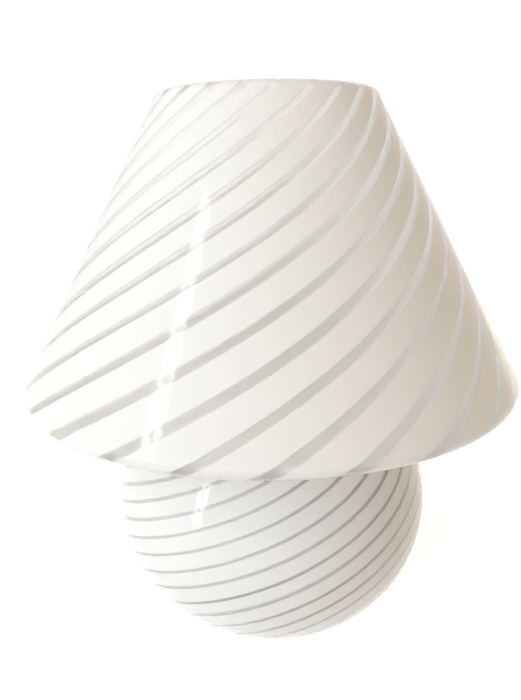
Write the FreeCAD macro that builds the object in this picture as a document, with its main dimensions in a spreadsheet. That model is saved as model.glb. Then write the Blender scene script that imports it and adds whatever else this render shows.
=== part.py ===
import FreeCAD, Part
import math
import os
import Sketcher

# One-piece blown glass table lamp: a globe foot, a waist and a cone shade in one glass wall,
# with a sprung lampholder fitting in the waist, a screw-in bulb and a cord bush at the back.
# Millimetres. The origin is the middle of the foot, +Z is up, the front is -Y.
# The lamp's axis is the Z axis. Outlines are drawn as distance from the axis against height.

# Driving sizes: name, millimetres, what it is
SIZES = [
    ("globe_radius", 86.9, "widest radius of the globe"),
    ("globe_height", 68.5, "height of the globe's widest ring over the foot"),
    ("foot_radius", 39.5, "radius of the flat that the lamp stands on"),
    ("foot_rounding", 6.0, "rounding round the foot"),
    ("foot_thickness", 7.0, "thickness of the glass in the foot"),
    ("inner_foot_rounding", 8.0, "rounding inside, where the globe meets the floor"),
    ("neck_radius", 33.0, "outer radius of the waist"),
    ("neck_rounding", 14.0, "radius of the waist's hollow"),
    ("ring_drop", 5.5, "height of the waist over the shade's widest ring"),
    ("shade_radius", 130.0, "widest radius of the shade"),
    ("rim_rounding", 2.8, "rounding inside the shade's lower rim"),
    ("shade_height", 143.0, "height of the shade over its widest ring"),
    ("shade_top_radius", 56.2, "radius of the shade's shoulder"),
    ("shoulder_rounding", 1.4, "rounding inside the shade's shoulder"),
    ("lip_width", 4.0, "width of the flat turned in at the top, up to the lip's round edge"),
    ("glass_wall", 3.2, "thickness of the glass"),
    ("cord_hole_height", 36.0, "height of the cord hole on the globe's back"),
    ("cord_hole_clearance", 0.4, "gap between the cord hole and the bush's sleeve"),
    ("cut_overrun", 2.0, "how far a cutting tool runs past what it cuts"),
    ("seat_clearance", 0.05, "gap between pieces that rest on each other"),
    ("loose_clearance", 0.3, "gap round a piece that sits in another"),
    ("bush_sleeve_radius", 5.0, "outer radius of the cord bush's sleeve"),
    ("bush_sleeve_wall", 1.0, "wall of the sleeve"),
    ("bush_throat_radius", 3.65, "radius of the throat that guides the cord"),
    ("bush_throat_length", 7.0, "length of the throat"),
    ("bush_flange_radius", 8.0, "radius of the bush's flange"),
    ("bush_flange_thickness", 2.0, "thickness of the bush's flange"),
    ("bush_nose_wall", 1.35, "wall of the bush's nose at its tip"),
    ("bush_nose_flare", 1.2, "how much wider the nose is at the flange"),
    ("bush_nut_circle", 8.0, "radius over the corners of the bush's nut"),
    ("bush_nut_height", 4.0, "height of the bush's nut"),
    ("bush_end_length", 1.0, "length of the sleeve past its nut"),
    ("seal_thickness", 1.2, "thickness of the bush's seals"),
    ("hub_lift", 2.5, "height of the arms' hub over the waist"),
    ("arm_hub_radius", 15.0, "radius of the arms' hub"),
    ("arm_thickness", 1.5, "thickness of the arms' steel"),
    ("arm_width", 12.0, "width of an arm"),
    ("arm_foot_length", 12.0, "length of the arm's flat that rests on the glass"),
    ("arm_tip_length", 3.0, "reach of the arm's turned-down tip"),
    ("arm_tip_drop", 2.5, "drop of the arm's turned-down tip"),
    ("pad_thickness", 2.0, "thickness of the soft pads under the arms"),
    ("pad_length", 10.0, "length of a pad"),
    ("spring_hub_radius", 12.0, "radius of the grip spring's hub"),
    ("spring_thickness", 0.8, "thickness of the spring steel"),
    ("spring_width", 8.0, "width of a spring leg"),
    ("spring_drop", 12.0, "depth under the waist where the legs press"),
    ("spring_tip_length", 3.5, "reach of a leg's inward tip"),
    ("spring_tip_drop", 5.5, "drop of a leg's inward tip"),
    ("nipple_radius", 5.0, "outer radius of the threaded nipple"),
    ("nipple_bore", 3.75, "radius of the nipple's bore for the cord"),
    ("nipple_end_length", 1.5, "length of the nipple past the lower nut"),
    ("nipple_top_gap", 2.0, "depth of the nipple's top under the cap's shoulder"),
    ("nut_circle", 8.1, "radius over the corners of a nipple nut"),
    ("nut_height", 4.0, "height of a nipple nut"),
    ("washer_height", 1.0, "thickness of the toothed washer"),
    ("washer_radius", 7.6, "radius of the washer's ring"),
    ("washer_tooth_length", 1.8, "length of a washer tooth"),
    ("washer_tooth_width", 2.4, "width of a washer tooth"),
    ("holder_wall", 1.3, "wall of the lampholder's shells"),
    ("collar_radius", 7.6, "outer radius of the cap's collar"),
    ("collar_height", 9.0, "height of the cap's collar"),
    ("cap_slope_height", 5.0, "height of the cap's sloping shoulder"),
    ("cap_skirt_height", 6.0, "height of the cap's straight skirt"),
    ("cap_shelf_width", 2.8, "width of the shelf that carries the insert"),
    ("cap_shelf_depth", 4.0, "depth of the shelf under the cap's edge"),
    ("cap_screw_radius", 1.5, "radius of the screw that locks the collar"),
    ("cap_screw_length", 4.0, "length of the screw that locks the collar"),
    ("sleeve_lead", 10.0, "height of the lampholder's sleeve over its insert"),
    ("sleeve_bevel_height", 1.0, "height of the sleeve's sloping step"),
    ("mouth_clearance", 0.95, "gap between the bulb's collar and the lampholder's mouth"),
    ("mouth_width", 1.4, "width of the lampholder's mouth ring"),
    ("mouth_thickness", 1.5, "thickness of the lampholder's mouth ring"),
    ("insert_wall", 4.5, "wall of the porcelain insert round its well"),
    ("insert_height", 28.0, "height of the porcelain insert"),
    ("insert_floor", 14.0, "thickness of the insert under its well"),
    ("terminal_length", 5.4, "length of a terminal block"),
    ("terminal_width", 6.0, "width of a terminal block"),
    ("terminal_height", 7.5, "height of a terminal block"),
    ("terminal_offset", 6.0, "distance of a terminal from the axis"),
    ("terminal_fit", 0.2, "gap round a terminal in its pocket"),
    ("terminal_screw_radius", 1.3, "radius of a terminal screw"),
    ("terminal_screw_length", 5.0, "length of a terminal screw"),
    ("terminal_head_radius", 2.1, "radius of a terminal screw's head"),
    ("terminal_head_height", 1.6, "height of a terminal screw's head"),
    ("shell_radius", 7.25, "inner radius of the lampholder's screw shell"),
    ("shell_wall", 0.35, "wall of the screw shell"),
    ("shell_floor_radius", 5.4, "radius of the hole in the screw shell's floor"),
    ("shell_flange_width", 1.9, "width of the screw shell's flange"),
    ("tongue_width", 3.0, "width of the contact tongue"),
    ("tongue_thickness", 0.4, "thickness of the contact tongue"),
    ("tongue_root_length", 4.8, "distance from the axis to the tongue's root"),
    ("tongue_flat_length", 1.7, "half length of the tongue's raised flat"),
    ("tongue_bend_length", 2.5, "distance from the axis to the tongue's bend"),
    ("tongue_rise", 2.5, "rise of the tongue's flat"),
    ("rivet_radius", 0.6, "radius of a contact rivet"),
    ("rivet_head_radius", 0.9, "radius of a contact rivet's head"),
    ("rivet_head_height", 0.5, "height of a contact rivet's head"),
    ("live_rivet_offset", 3.95, "distance of the tongue's rivet from the axis"),
    ("shell_rivet_offset", 6.3, "distance of the shell's rivet from the axis"),
    ("ball_radius", 22.5, "radius of the bulb's ball"),
    ("bulb_wall", 0.8, "thickness of the bulb's glass"),
    ("bulb_neck_radius", 9.0, "outer radius of the bulb's neck"),
    ("bulb_neck_rounding", 12.0, "radius of the hollow between neck and ball"),
    ("bulb_neck_lift", 0.9, "height of the neck's lower edge over the cap's flare"),
    ("bulb_neck_straight", 4.6, "length of the neck's straight part"),
    ("tip_radius", 2.4, "radius of the bulb's tip contact"),
    ("tip_height", 1.0, "height of the bulb's tip contact"),
    ("insulator_height", 2.4, "height of the black insulator's cone"),
    ("insulator_plug_height", 1.2, "height of the insulator's plug inside the cap"),
    ("bulb_cap_wall", 0.3, "wall of the bulb's screw cap"),
    ("bulb_cap_bevel", 1.2, "width and height of the bevel under the screw cap"),
    ("bulb_cap_straight", 14.0, "length of the straight part of the screw cap"),
    ("bulb_cap_flare", 4.0, "height of the screw cap's flare"),
    ("bulb_cap_collar", 3.0, "height of the screw cap's collar"),
    ("stem_skirt_height", 1.0, "height of the glass stem's skirt"),
    ("stem_cone_height", 6.0, "height of the glass stem's cone"),
    ("stem_rod_radius", 2.4, "radius of the glass stem's rod"),
    ("stem_rod_height", 7.0, "height of the glass stem's rod"),
    ("wire_radius", 0.5, "radius of the filament frame's post"),
    ("spoke_width", 0.8, "width of the filament frame's spokes"),
    ("spoke_height", 0.6, "height of the filament frame's spokes"),
    ("filament_radius", 0.9, "radius of a filament rod"),
    ("filament_length", 26.0, "length of a filament rod"),
    ("filament_circle", 7.0, "distance of a filament rod from the axis"),
]

# Counts and turns, which no length scales
ARM_COUNT = 3
WASHER_TOOTH_COUNT = 8
FILAMENT_COUNT = 4
NUT_SIDES = 6
ARM_TURN = 90.0
LEG_TURN = 270.0
FULL_TURN = 360.0
QUARTER_TURN = 90.0

document = FreeCAD.newDocument("GlassTableLamp")
sheet = document.addObject("Spreadsheet::Sheet", "Sizes")
parts = []


class Size:
    """A length known both as a number and as the sheet expression that gives it."""

    def __init__(self, value, text):
        self.value = value
        self.text = text

    def __add__(self, other):
        return Size(self.value + other.value, f"({self.text} + {other.text})")

    def __sub__(self, other):
        return Size(self.value - other.value, f"({self.text} - {other.text})")

    def __mul__(self, other):
        return Size(self.value * other.value, f"({self.text} * {other.text})")

    def __truediv__(self, other):
        return Size(self.value / other.value, f"({self.text} / {other.text})")

    def __neg__(self):
        return Size(-self.value, f"(0 - {self.text})")


class Sizes:
    """The driving sizes, one attribute for each cell of the sheet."""


def read_sizes():
    """Writes each size to its own cell and gives it back under its name."""
    sizes = Sizes()
    for row, (name, number, words) in enumerate(SIZES, start=1):
        sheet.set(f"A{row}", words)
        sheet.set(f"B{row}", str(number))
        sheet.setAlias(f"B{row}", name)
        setattr(sizes, name, Size(number, f"Sizes.{name}"))
    document.recompute()
    return sizes


def root(square):
    """Square root of a squared length."""
    return Size(math.sqrt(square.value), f"sqrt({square.text})")


def squared(length):
    """Square of a length."""
    return length * length


def half(length):
    """Half of a length."""
    return length / TWO


def double(length):
    """Twice a length."""
    return length * TWO


ZERO = Size(0.0, "0")
TWO = Size(2.0, "2")
size = read_sizes()

# Places that follow from the sizes

# The globe's side is one arc that is tangent to the foot's rounding and widest at the globe's radius
foot_inset = size.globe_radius - size.foot_radius
side_radius = (
    squared(foot_inset) + squared(size.globe_height - size.foot_rounding) - squared(size.foot_rounding)
) / double(foot_inset - size.foot_rounding)
side_centre = size.globe_radius - side_radius

# The waist's hollow is tangent to the globe's side from outside
neck_centre = size.neck_radius + size.neck_rounding
neck_height = size.globe_height + root(
    squared(side_radius + size.neck_rounding) - squared(neck_centre - side_centre)
)
ring_height = neck_height - size.ring_drop
lamp_height = ring_height + size.shade_height
outer_rim_rounding = size.rim_rounding + size.glass_wall
outer_shoulder_rounding = size.shoulder_rounding + size.glass_wall
rim_centre = size.shade_radius - outer_rim_rounding
shoulder_centre = size.shade_top_radius - outer_shoulder_rounding
shoulder_height = lamp_height - outer_shoulder_rounding

# The inner floor's highest ring, round the waist, carries the fitting's arms
crest_height = neck_height + size.neck_rounding + size.glass_wall
crest_radius = neck_centre

# The fitting's stack on the nipple, from below
hub_height = neck_height + size.hub_lift
spring_height = hub_height - size.spring_thickness
lower_nut_height = spring_height - size.nut_height
washer_low = hub_height + size.arm_thickness
upper_nut_height = washer_low + size.washer_height
cap_height = upper_nut_height + size.nut_height
cap_shoulder_height = cap_height + size.collar_height
cap_skirt_low = cap_shoulder_height + size.cap_slope_height
cap_edge_height = cap_skirt_low + size.cap_skirt_height
insert_low = cap_edge_height - size.cap_shelf_depth
insert_high = insert_low + size.insert_height
well_height = insert_low + size.insert_floor
tongue_top = well_height + size.tongue_rise + size.tongue_thickness
sleeve_top = insert_high + size.sleeve_lead

# The lampholder's widths, from its screw shell outwards
shell_outer = size.shell_radius + size.shell_wall
well_radius = shell_outer + size.loose_clearance
insert_radius = well_radius + size.insert_wall
skirt_bore = insert_radius + size.loose_clearance
holder_radius = skirt_bore + size.holder_wall

# The bulb stands on the tongue
bulb_low = tongue_top + size.seat_clearance
insulator_low = bulb_low + size.tip_height
bulb_cap_low = insulator_low + size.insulator_height
bulb_cap_radius = size.shell_radius - size.loose_clearance
insulator_radius = bulb_cap_radius - size.bulb_cap_bevel
bevel_high = bulb_cap_low + size.bulb_cap_bevel
straight_high = bevel_high + size.bulb_cap_straight
flare_high = straight_high + size.bulb_cap_flare
collar_inner = size.bulb_neck_radius + size.seat_clearance
collar_outer = collar_inner + size.bulb_cap_wall
mouth_radius = collar_outer + size.mouth_clearance
bulb_neck_low = flare_high + size.bulb_neck_lift
hollow_centre = size.bulb_neck_radius + size.bulb_neck_rounding
hollow_height = bulb_neck_low + size.bulb_neck_straight
ball_height = hollow_height + root(
    squared(size.ball_radius + size.bulb_neck_rounding) - squared(hollow_centre)
)
stem_top = bulb_neck_low + size.stem_skirt_height + size.stem_cone_height + size.stem_rod_height
filament_low = stem_top + size.spoke_height

# The cord hole goes square through the globe's side, so it slants a little down to the back
hole_drop = size.globe_height - size.cord_hole_height
hole_reach = root(squared(side_radius) - squared(hole_drop))
hole_sine = hole_drop / side_radius
hole_cosine = hole_reach / side_radius
hole_back = side_centre + hole_reach
cord_hole_radius = size.bush_sleeve_radius + size.cord_hole_clearance


def add_part(piece, label):
    """Names a finished piece and keeps it for writing."""
    piece.Label = label
    parts.append(piece)
    return piece


def start_sketch(body, role, name):
    """Starts a sketch on one of the body's own origin planes."""
    plane = next(item for item in body.Origin.OriginFeatures if item.Role == role)
    sketch = body.newObject("Sketcher::SketchObject", name)
    sketch.AttachmentSupport = [(plane, "")]
    sketch.MapMode = "FlatFace"
    return sketch


def fix_distance(sketch, kind, element, end, length):
    """Ties a point's distance from an axis to its size."""
    if length.value == 0.0:
        axis = -2 if kind == "DistanceX" else -1
        sketch.addConstraint(Sketcher.Constraint("PointOnObject", element, end, axis))
        return
    index = sketch.addConstraint(Sketcher.Constraint(kind, -1, 1, element, end, length.value))
    sketch.setExpression(f"Constraints[{index}]", length.text)


def fix_point(sketch, element, end, across, up):
    """Ties a point to its two distances."""
    fix_distance(sketch, "DistanceX", element, end, across)
    fix_distance(sketch, "DistanceY", element, end, up)


def fix_radius(sketch, element, length):
    """Ties an arc's or circle's radius to its size."""
    index = sketch.addConstraint(Sketcher.Constraint("Radius", element, length.value))
    sketch.setExpression(f"Constraints[{index}]", length.text)


def draw_polygon(sketch, corners):
    """Draws a closed outline of straight lines with every corner tied to its sizes."""
    points = [FreeCAD.Vector(across.value, up.value, 0) for across, up in corners]
    lines = [Part.LineSegment(start, stop) for start, stop in zip(points, points[1:] + points[:1])]
    sketch.addGeometry(lines, False)
    for index in range(len(lines)):
        following = (index + 1) % len(lines)
        sketch.addConstraint(Sketcher.Constraint("Coincident", index, 2, following, 1))
    for index, (across, up) in enumerate(corners):
        fix_point(sketch, index, 1, across, up)


def revolve_sketch(body, sketch, name):
    """Turns a sketch once round the body's upright axis."""
    turned = body.newObject("PartDesign::Revolution", name)
    turned.Profile = sketch
    turned.ReferenceAxis = (sketch, ["V_Axis"])
    turned.Angle = FULL_TURN
    sketch.Visibility = False
    body.Tip = turned
    return turned


def new_body(name):
    """Starts an empty body."""
    return document.addObject("PartDesign::Body", f"{name}_solid")


def turned_body(name, corners):
    """Makes a body by turning a straight-sided outline round the lamp's axis."""
    body = new_body(name)
    sketch = start_sketch(body, "XZ_Plane", f"{name}_outline")
    draw_polygon(sketch, corners)
    revolve_sketch(body, sketch, f"{name}_turned")
    return body


def turned_part(label, corners):
    """Makes a whole sub-part by turning an outline."""
    return add_part(turned_body(label, corners), label)


def ring_corners(inner, outer, low, high):
    """Corners of a plain ring's section."""
    return [(inner, low), (outer, low), (outer, high), (inner, high)]


def cylinder(name, radius, low, high, across=ZERO, along=ZERO):
    """Makes an upright cylinder tied to its sizes."""
    rod = document.addObject("Part::Cylinder", name)
    rod.setExpression("Radius", radius.text)
    rod.setExpression("Height", (high - low).text)
    rod.setExpression("Placement.Base.x", across.text)
    rod.setExpression("Placement.Base.y", along.text)
    rod.setExpression("Placement.Base.z", low.text)
    return rod


def block(name, middle, length, width, low, high):
    """Makes an upright block, centred on a place on the X axis."""
    box = document.addObject("Part::Box", name)
    box.setExpression("Length", length.text)
    box.setExpression("Width", width.text)
    box.setExpression("Height", (high - low).text)
    box.setExpression("Placement.Base.x", (middle - half(length)).text)
    box.setExpression("Placement.Base.y", (-half(width)).text)
    box.setExpression("Placement.Base.z", low.text)
    return box


def cut(name, base, tool):
    """Cuts one shape out of another."""
    result = document.addObject("Part::Cut", name)
    result.Base = base
    result.Tool = tool
    return result


def fuse(name, pieces):
    """Joins shapes into one."""
    result = document.addObject("Part::MultiFuse", name)
    result.Shapes = pieces
    result.Refine = True
    return result


def group(name, pieces):
    """Keeps like pieces together as separate solids."""
    result = document.addObject("Part::Compound", name)
    result.Links = pieces
    return result


def hexagon_nut(name, circle, bore, low, high):
    """Makes a six-sided nut with its bore."""
    prism = document.addObject("Part::Prism", f"{name}_prism")
    prism.Polygon = NUT_SIDES
    prism.setExpression("Circumradius", circle.text)
    prism.setExpression("Height", (high - low).text)
    prism.setExpression("Placement.Base.z", low.text)
    tool = cylinder(f"{name}_bore", bore, low - size.cut_overrun, high + size.cut_overrun)
    return cut(name, prism, tool)


def turned(axis, degrees):
    """Placement at the origin, turned about an axis."""
    return FreeCAD.Placement(FreeCAD.Vector(), FreeCAD.Rotation(FreeCAD.Vector(*axis), degrees))


def lean_to_hole(piece):
    """Places a piece drawn round the upright axis at the cord hole, square to the glass."""
    piece.Placement = turned((-1, 0, 0), QUARTER_TURN)
    piece.setExpression("Placement.Base.y", hole_back.text)
    piece.setExpression("Placement.Base.z", size.cord_hole_height.text)
    piece.setExpression("Placement.Rotation.Angle", f"90 deg + asin{hole_sine.text}")
    return piece


class Outline:
    """A closed outline of lines and arcs that run into each other, in drawing order."""

    def __init__(self, sketch):
        self.sketch = sketch
        self.ends = []

    def line(self, start, stop):
        """Draws a line between two places."""
        line = Part.LineSegment(FreeCAD.Vector(*start), FreeCAD.Vector(*stop))
        element = self.sketch.addGeometry(line, False)
        self.ends.append((element, 1, 2))
        return element

    def arc(self, centre, radius, start, stop):
        """Draws an arc about a centre from one angle to another, either way round."""
        circle = Part.Circle(FreeCAD.Vector(*centre), FreeCAD.Vector(0, 0, 1), radius)
        arc = Part.ArcOfCircle(circle, min(start, stop), max(start, stop))
        element = self.sketch.addGeometry(arc, False)
        self.ends.append((element, 1, 2) if stop > start else (element, 2, 1))
        return element

    def join(self, corners=()):
        """Joins each element to the next, smoothly but at the corners named."""
        for index, (element, _, stop) in enumerate(self.ends):
            following, start, _ = self.ends[(index + 1) % len(self.ends)]
            kind = "Coincident" if index in corners else "Tangent"
            self.sketch.addConstraint(Sketcher.Constraint(kind, element, stop, following, start))


def on_circle(centre, radius, angle):
    """Point of a circle at an angle."""
    return (centre[0] + radius * math.cos(angle), centre[1] + radius * math.sin(angle))


def bearing(start, stop):
    """Angle of the line from one place to another."""
    return math.atan2(stop[1] - start[1], stop[0] - start[0])


def tangent_normal(first, second, offset, side):
    """Normal angle of the line that lies nearer the second centre than the first by an offset."""
    return bearing(first, second) + side * math.acos(offset / math.dist(first, second))


def draw_glass(sketch):
    """Draws the wall of the glass: foot, globe, waist, underside, rim, cone, shoulder and lip."""
    wall = size.glass_wall
    side = (side_centre.value, size.globe_height.value)
    neck = (neck_centre.value, neck_height.value)
    rim = (rim_centre.value, ring_height.value)
    shoulder = (shoulder_centre.value, shoulder_height.value)
    lip_radius = half(wall)
    lip_centre = shoulder_centre - size.lip_width
    lip = (lip_centre.value, lamp_height.value - lip_radius.value)
    foot = (size.foot_radius.value, size.foot_rounding.value)
    inner_side = side_radius - wall
    floor_rise = size.foot_thickness + size.inner_foot_rounding
    rounding_reach = inner_side - size.inner_foot_rounding
    floor_reach = root(squared(rounding_reach) - squared(size.globe_height - floor_rise))
    inner_foot = ((side_centre + floor_reach).value, floor_rise.value)

    foot_angle = bearing(side, foot)
    inner_foot_angle = bearing(side, inner_foot)
    neck_angle = bearing(side, neck)
    under_normal = tangent_normal(neck, rim, outer_rim_rounding.value + size.neck_rounding.value, 1)
    rounding_step = size.rim_rounding.value - size.shoulder_rounding.value
    cone_normal = tangent_normal(rim, shoulder, rounding_step, -1)
    down = -math.pi / 2
    up = math.pi / 2

    outline = Outline(sketch)
    sole = outline.line((0, 0), (foot[0], 0))
    foot_arc = outline.arc(foot, size.foot_rounding.value, down, foot_angle)
    side_arc = outline.arc(side, side_radius.value, foot_angle, neck_angle)
    neck_start = neck_angle + math.pi
    neck_arc = outline.arc(neck, size.neck_rounding.value, neck_start, under_normal)
    outline.line(
        on_circle(neck, size.neck_rounding.value, under_normal),
        on_circle(rim, outer_rim_rounding.value, under_normal - math.pi),
    )
    rim_arc = outline.arc(rim, outer_rim_rounding.value, under_normal - math.pi, cone_normal)
    outline.line(
        on_circle(rim, outer_rim_rounding.value, cone_normal),
        on_circle(shoulder, outer_shoulder_rounding.value, cone_normal),
    )
    shoulder_arc = outline.arc(shoulder, outer_shoulder_rounding.value, cone_normal, up)
    top_line = outline.line((shoulder[0], lamp_height.value), (lip[0], lamp_height.value))
    lip_arc = outline.arc(lip, lip_radius.value, up, up + math.pi)
    under_lip_height = lamp_height.value - wall.value
    under_lip = outline.line((lip[0], under_lip_height), (shoulder[0], under_lip_height))
    inner_shoulder = outline.arc(shoulder, size.shoulder_rounding.value, up, cone_normal)
    outline.line(
        on_circle(shoulder, size.shoulder_rounding.value, cone_normal),
        on_circle(rim, size.rim_rounding.value, cone_normal),
    )
    inner_rim = outline.arc(rim, size.rim_rounding.value, cone_normal, under_normal - math.pi)
    inner_neck_rounding = size.neck_rounding.value + wall.value
    outline.line(
        on_circle(rim, size.rim_rounding.value, under_normal - math.pi),
        on_circle(neck, inner_neck_rounding, under_normal),
    )
    inner_neck = outline.arc(neck, inner_neck_rounding, under_normal, neck_start)
    inner_arc = outline.arc(side, inner_side.value, neck_angle, inner_foot_angle)
    floor_arc = outline.arc(inner_foot, size.inner_foot_rounding.value, inner_foot_angle, down)
    floor_line = outline.line((inner_foot[0], size.foot_thickness.value), (0, size.foot_thickness.value))
    axis_line = outline.line((0, size.foot_thickness.value), (0, 0))
    last = len(outline.ends) - 1
    outline.join(corners=(last - 1, last))

    sketch.addConstraint(Sketcher.Constraint("Coincident", sole, 1, -1, 1))
    for level in (sole, top_line, under_lip, floor_line):
        sketch.addConstraint(Sketcher.Constraint("Horizontal", level))
    sketch.addConstraint(Sketcher.Constraint("Vertical", axis_line))
    fix_radius(sketch, foot_arc, size.foot_rounding)
    fix_radius(sketch, side_arc, side_radius)
    fix_point(sketch, side_arc, 3, side_centre, size.globe_height)
    fix_radius(sketch, neck_arc, size.neck_rounding)
    fix_distance(sketch, "DistanceX", neck_arc, 3, neck_centre)
    fix_radius(sketch, rim_arc, outer_rim_rounding)
    fix_point(sketch, rim_arc, 3, rim_centre, ring_height)
    fix_radius(sketch, shoulder_arc, outer_shoulder_rounding)
    fix_point(sketch, shoulder_arc, 3, shoulder_centre, shoulder_height)
    fix_radius(sketch, lip_arc, lip_radius)
    fix_distance(sketch, "DistanceX", lip_arc, 3, lip_centre)
    pairs = (
        (inner_shoulder, shoulder_arc),
        (inner_rim, rim_arc),
        (inner_neck, neck_arc),
        (inner_arc, side_arc),
    )
    for inner, outer in pairs:
        sketch.addConstraint(Sketcher.Constraint("Coincident", inner, 3, outer, 3))
    fix_radius(sketch, inner_rim, size.rim_rounding)
    fix_radius(sketch, inner_arc, inner_side)
    fix_radius(sketch, floor_arc, size.inner_foot_rounding)
    fix_distance(sketch, "DistanceY", floor_line, 1, size.foot_thickness)


def make_glass():
    """Makes the one-piece blown glass with its drilled cord hole."""
    body = new_body("glass")
    sketch = start_sketch(body, "XZ_Plane", "glass_outline")
    draw_glass(sketch)
    revolve_sketch(body, sketch, "glass_turned")
    drill_depth = size.glass_wall + size.cut_overrun
    drill = cylinder("cord_hole", cord_hole_radius, ZERO, drill_depth + size.cut_overrun)
    lean_to_hole(drill)
    drill.setExpression("Placement.Base.y", (hole_back - drill_depth * hole_cosine).text)
    drill.setExpression("Placement.Base.z", (size.cord_hole_height + drill_depth * hole_sine).text)
    return add_part(cut("glass_cut", body, drill), "glass_body")


def make_cord_bush():
    """Makes the threaded bush that the cord passes, its nut and its two seals."""
    inner_side = side_radius - size.glass_wall
    sag = inner_side - root(squared(inner_side) - squared(size.bush_flange_radius))
    inner_seal_high = -(size.glass_wall + sag + size.seat_clearance)
    nut_high = inner_seal_high - size.seal_thickness
    nut_low = nut_high - size.bush_nut_height
    sleeve_low = nut_low - size.bush_end_length
    flange_low = size.seal_thickness
    flange_high = flange_low + size.bush_flange_thickness
    nose_high = flange_low + size.bush_throat_length
    nose_radius = size.bush_throat_radius + size.bush_nose_wall
    sleeve_bore = size.bush_sleeve_radius - size.bush_sleeve_wall
    bush = turned_part("cord_bush", [
        (sleeve_bore, sleeve_low),
        (size.bush_sleeve_radius, sleeve_low),
        (size.bush_sleeve_radius, flange_low),
        (size.bush_flange_radius, flange_low),
        (size.bush_flange_radius, flange_high),
        (nose_radius + size.bush_nose_flare, flange_high),
        (nose_radius, nose_high),
        (size.bush_throat_radius, nose_high),
        (size.bush_throat_radius, flange_low),
        (sleeve_bore, flange_low),
    ])
    lean_to_hole(bush)
    bore = size.bush_sleeve_radius + size.seat_clearance
    nut = hexagon_nut("bush_nut_cut", size.bush_nut_circle, bore, nut_low, nut_high)
    lean_to_hole(add_part(nut, "bush_nut"))
    outer_seal = turned_body(
        "outer_seal", ring_corners(bore, size.bush_flange_radius, ZERO, size.seal_thickness)
    )
    inner_seal = turned_body(
        "inner_seal", ring_corners(bore, size.bush_flange_radius, nut_high, inner_seal_high)
    )
    lean_to_hole(add_part(group("seal_group", [outer_seal, inner_seal]), "bush_seals"))


def beside(place, angle, distance):
    """Place at a distance to the left of a line that runs through another at an angle."""
    return on_circle(place, distance, angle + math.pi / 2)


def draw_strip(sketch, points, thickness):
    """Draws the side view of a bent strip: its lower face by its bends, its upper face parallel."""
    lower = [(across.value, up.value) for across, up in points]
    angles = [bearing(start, stop) for start, stop in zip(lower, lower[1:])]
    gap = thickness.value
    upper = [beside(lower[0], angles[0], gap)]
    for index in range(1, len(lower) - 1):
        turn = (angles[index] - angles[index - 1]) / 2
        middle = (angles[index] + angles[index - 1]) / 2
        upper.append(beside(lower[index], middle, gap / math.cos(turn)))
    upper.append(beside(lower[-1], angles[-1], gap))
    around = [FreeCAD.Vector(*place, 0) for place in lower + upper[::-1]]
    lines = [Part.LineSegment(start, stop) for start, stop in zip(around, around[1:] + around[:1])]
    sketch.addGeometry(lines, False)
    total = len(lines)
    for index in range(total):
        sketch.addConstraint(Sketcher.Constraint("Coincident", index, 2, (index + 1) % total, 1))
    for index, (across, up) in enumerate(points):
        fix_point(sketch, index, 1, across, up)
    bends = len(points) - 1
    for index in range(bends):
        opposite = total - 2 - index
        sketch.addConstraint(Sketcher.Constraint("Parallel", index, opposite))
        spacing = sketch.addConstraint(Sketcher.Constraint("Distance", opposite, 2, index, gap))
        sketch.setExpression(f"Constraints[{spacing}]", thickness.text)
    sketch.addConstraint(Sketcher.Constraint("Perpendicular", bends, bends - 1))
    sketch.addConstraint(Sketcher.Constraint("Perpendicular", total - 1, 0))


def add_strip(body, name, points, thickness, width):
    """Adds a bent strip to a body, as wide to either side of the upright plane."""
    sketch = start_sketch(body, "XZ_Plane", f"{name}_side")
    draw_strip(sketch, points, thickness)
    strip = body.newObject("PartDesign::Pad", f"{name}_pad")
    strip.Profile = sketch
    strip.Midplane = True
    strip.setExpression("Length", width.text)
    sketch.Visibility = False
    body.Tip = strip
    return strip


def repeat_round(body, feature, name, count):
    """Repeats a feature evenly round the lamp's axis."""
    axis = next(item for item in body.Origin.OriginFeatures if item.Role == "Z_Axis")
    pattern = body.newObject("PartDesign::PolarPattern", name)
    pattern.Originals = [feature]
    pattern.Axis = (axis, [""])
    pattern.Angle = FULL_TURN
    pattern.Occurrences = count
    body.Tip = pattern
    return pattern


def turn_to(piece, degrees):
    """Turns a piece about the lamp's axis."""
    piece.Placement = turned((0, 0, 1), degrees)
    return piece


def make_support_arms():
    """Makes the steel star whose three arms rest on the glass round the waist, and their pads."""
    pad_top = crest_height + size.seat_clearance + size.pad_thickness
    foot_start = crest_radius - half(size.arm_foot_length)
    foot_stop = crest_radius + half(size.arm_foot_length)
    hole = size.nipple_radius + size.seat_clearance
    hub_top = hub_height + size.arm_thickness
    body = turned_body("support_arms", ring_corners(hole, size.arm_hub_radius, hub_height, hub_top))
    arm = add_strip(body, "arm", [
        (half(size.arm_hub_radius), hub_height),
        (size.arm_hub_radius, hub_height),
        (foot_start, pad_top),
        (foot_stop, pad_top),
        (foot_stop + size.arm_tip_length, pad_top - size.arm_tip_drop),
    ], size.arm_thickness, size.arm_width)
    repeat_round(body, arm, "arm_pattern", ARM_COUNT)
    turn_to(add_part(body, "support_arms"), ARM_TURN)

    pads = []
    for number in range(ARM_COUNT):
        pad = block(
            f"arm_pad_{number}", crest_radius, size.pad_length, size.arm_width,
            crest_height + size.seat_clearance, pad_top
        )
        place = group(f"arm_pad_place_{number}", [pad])
        pads.append(turn_to(place, ARM_TURN + number * FULL_TURN / ARM_COUNT))
    add_part(group("arm_pad_group", pads), "arm_pads")


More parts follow.
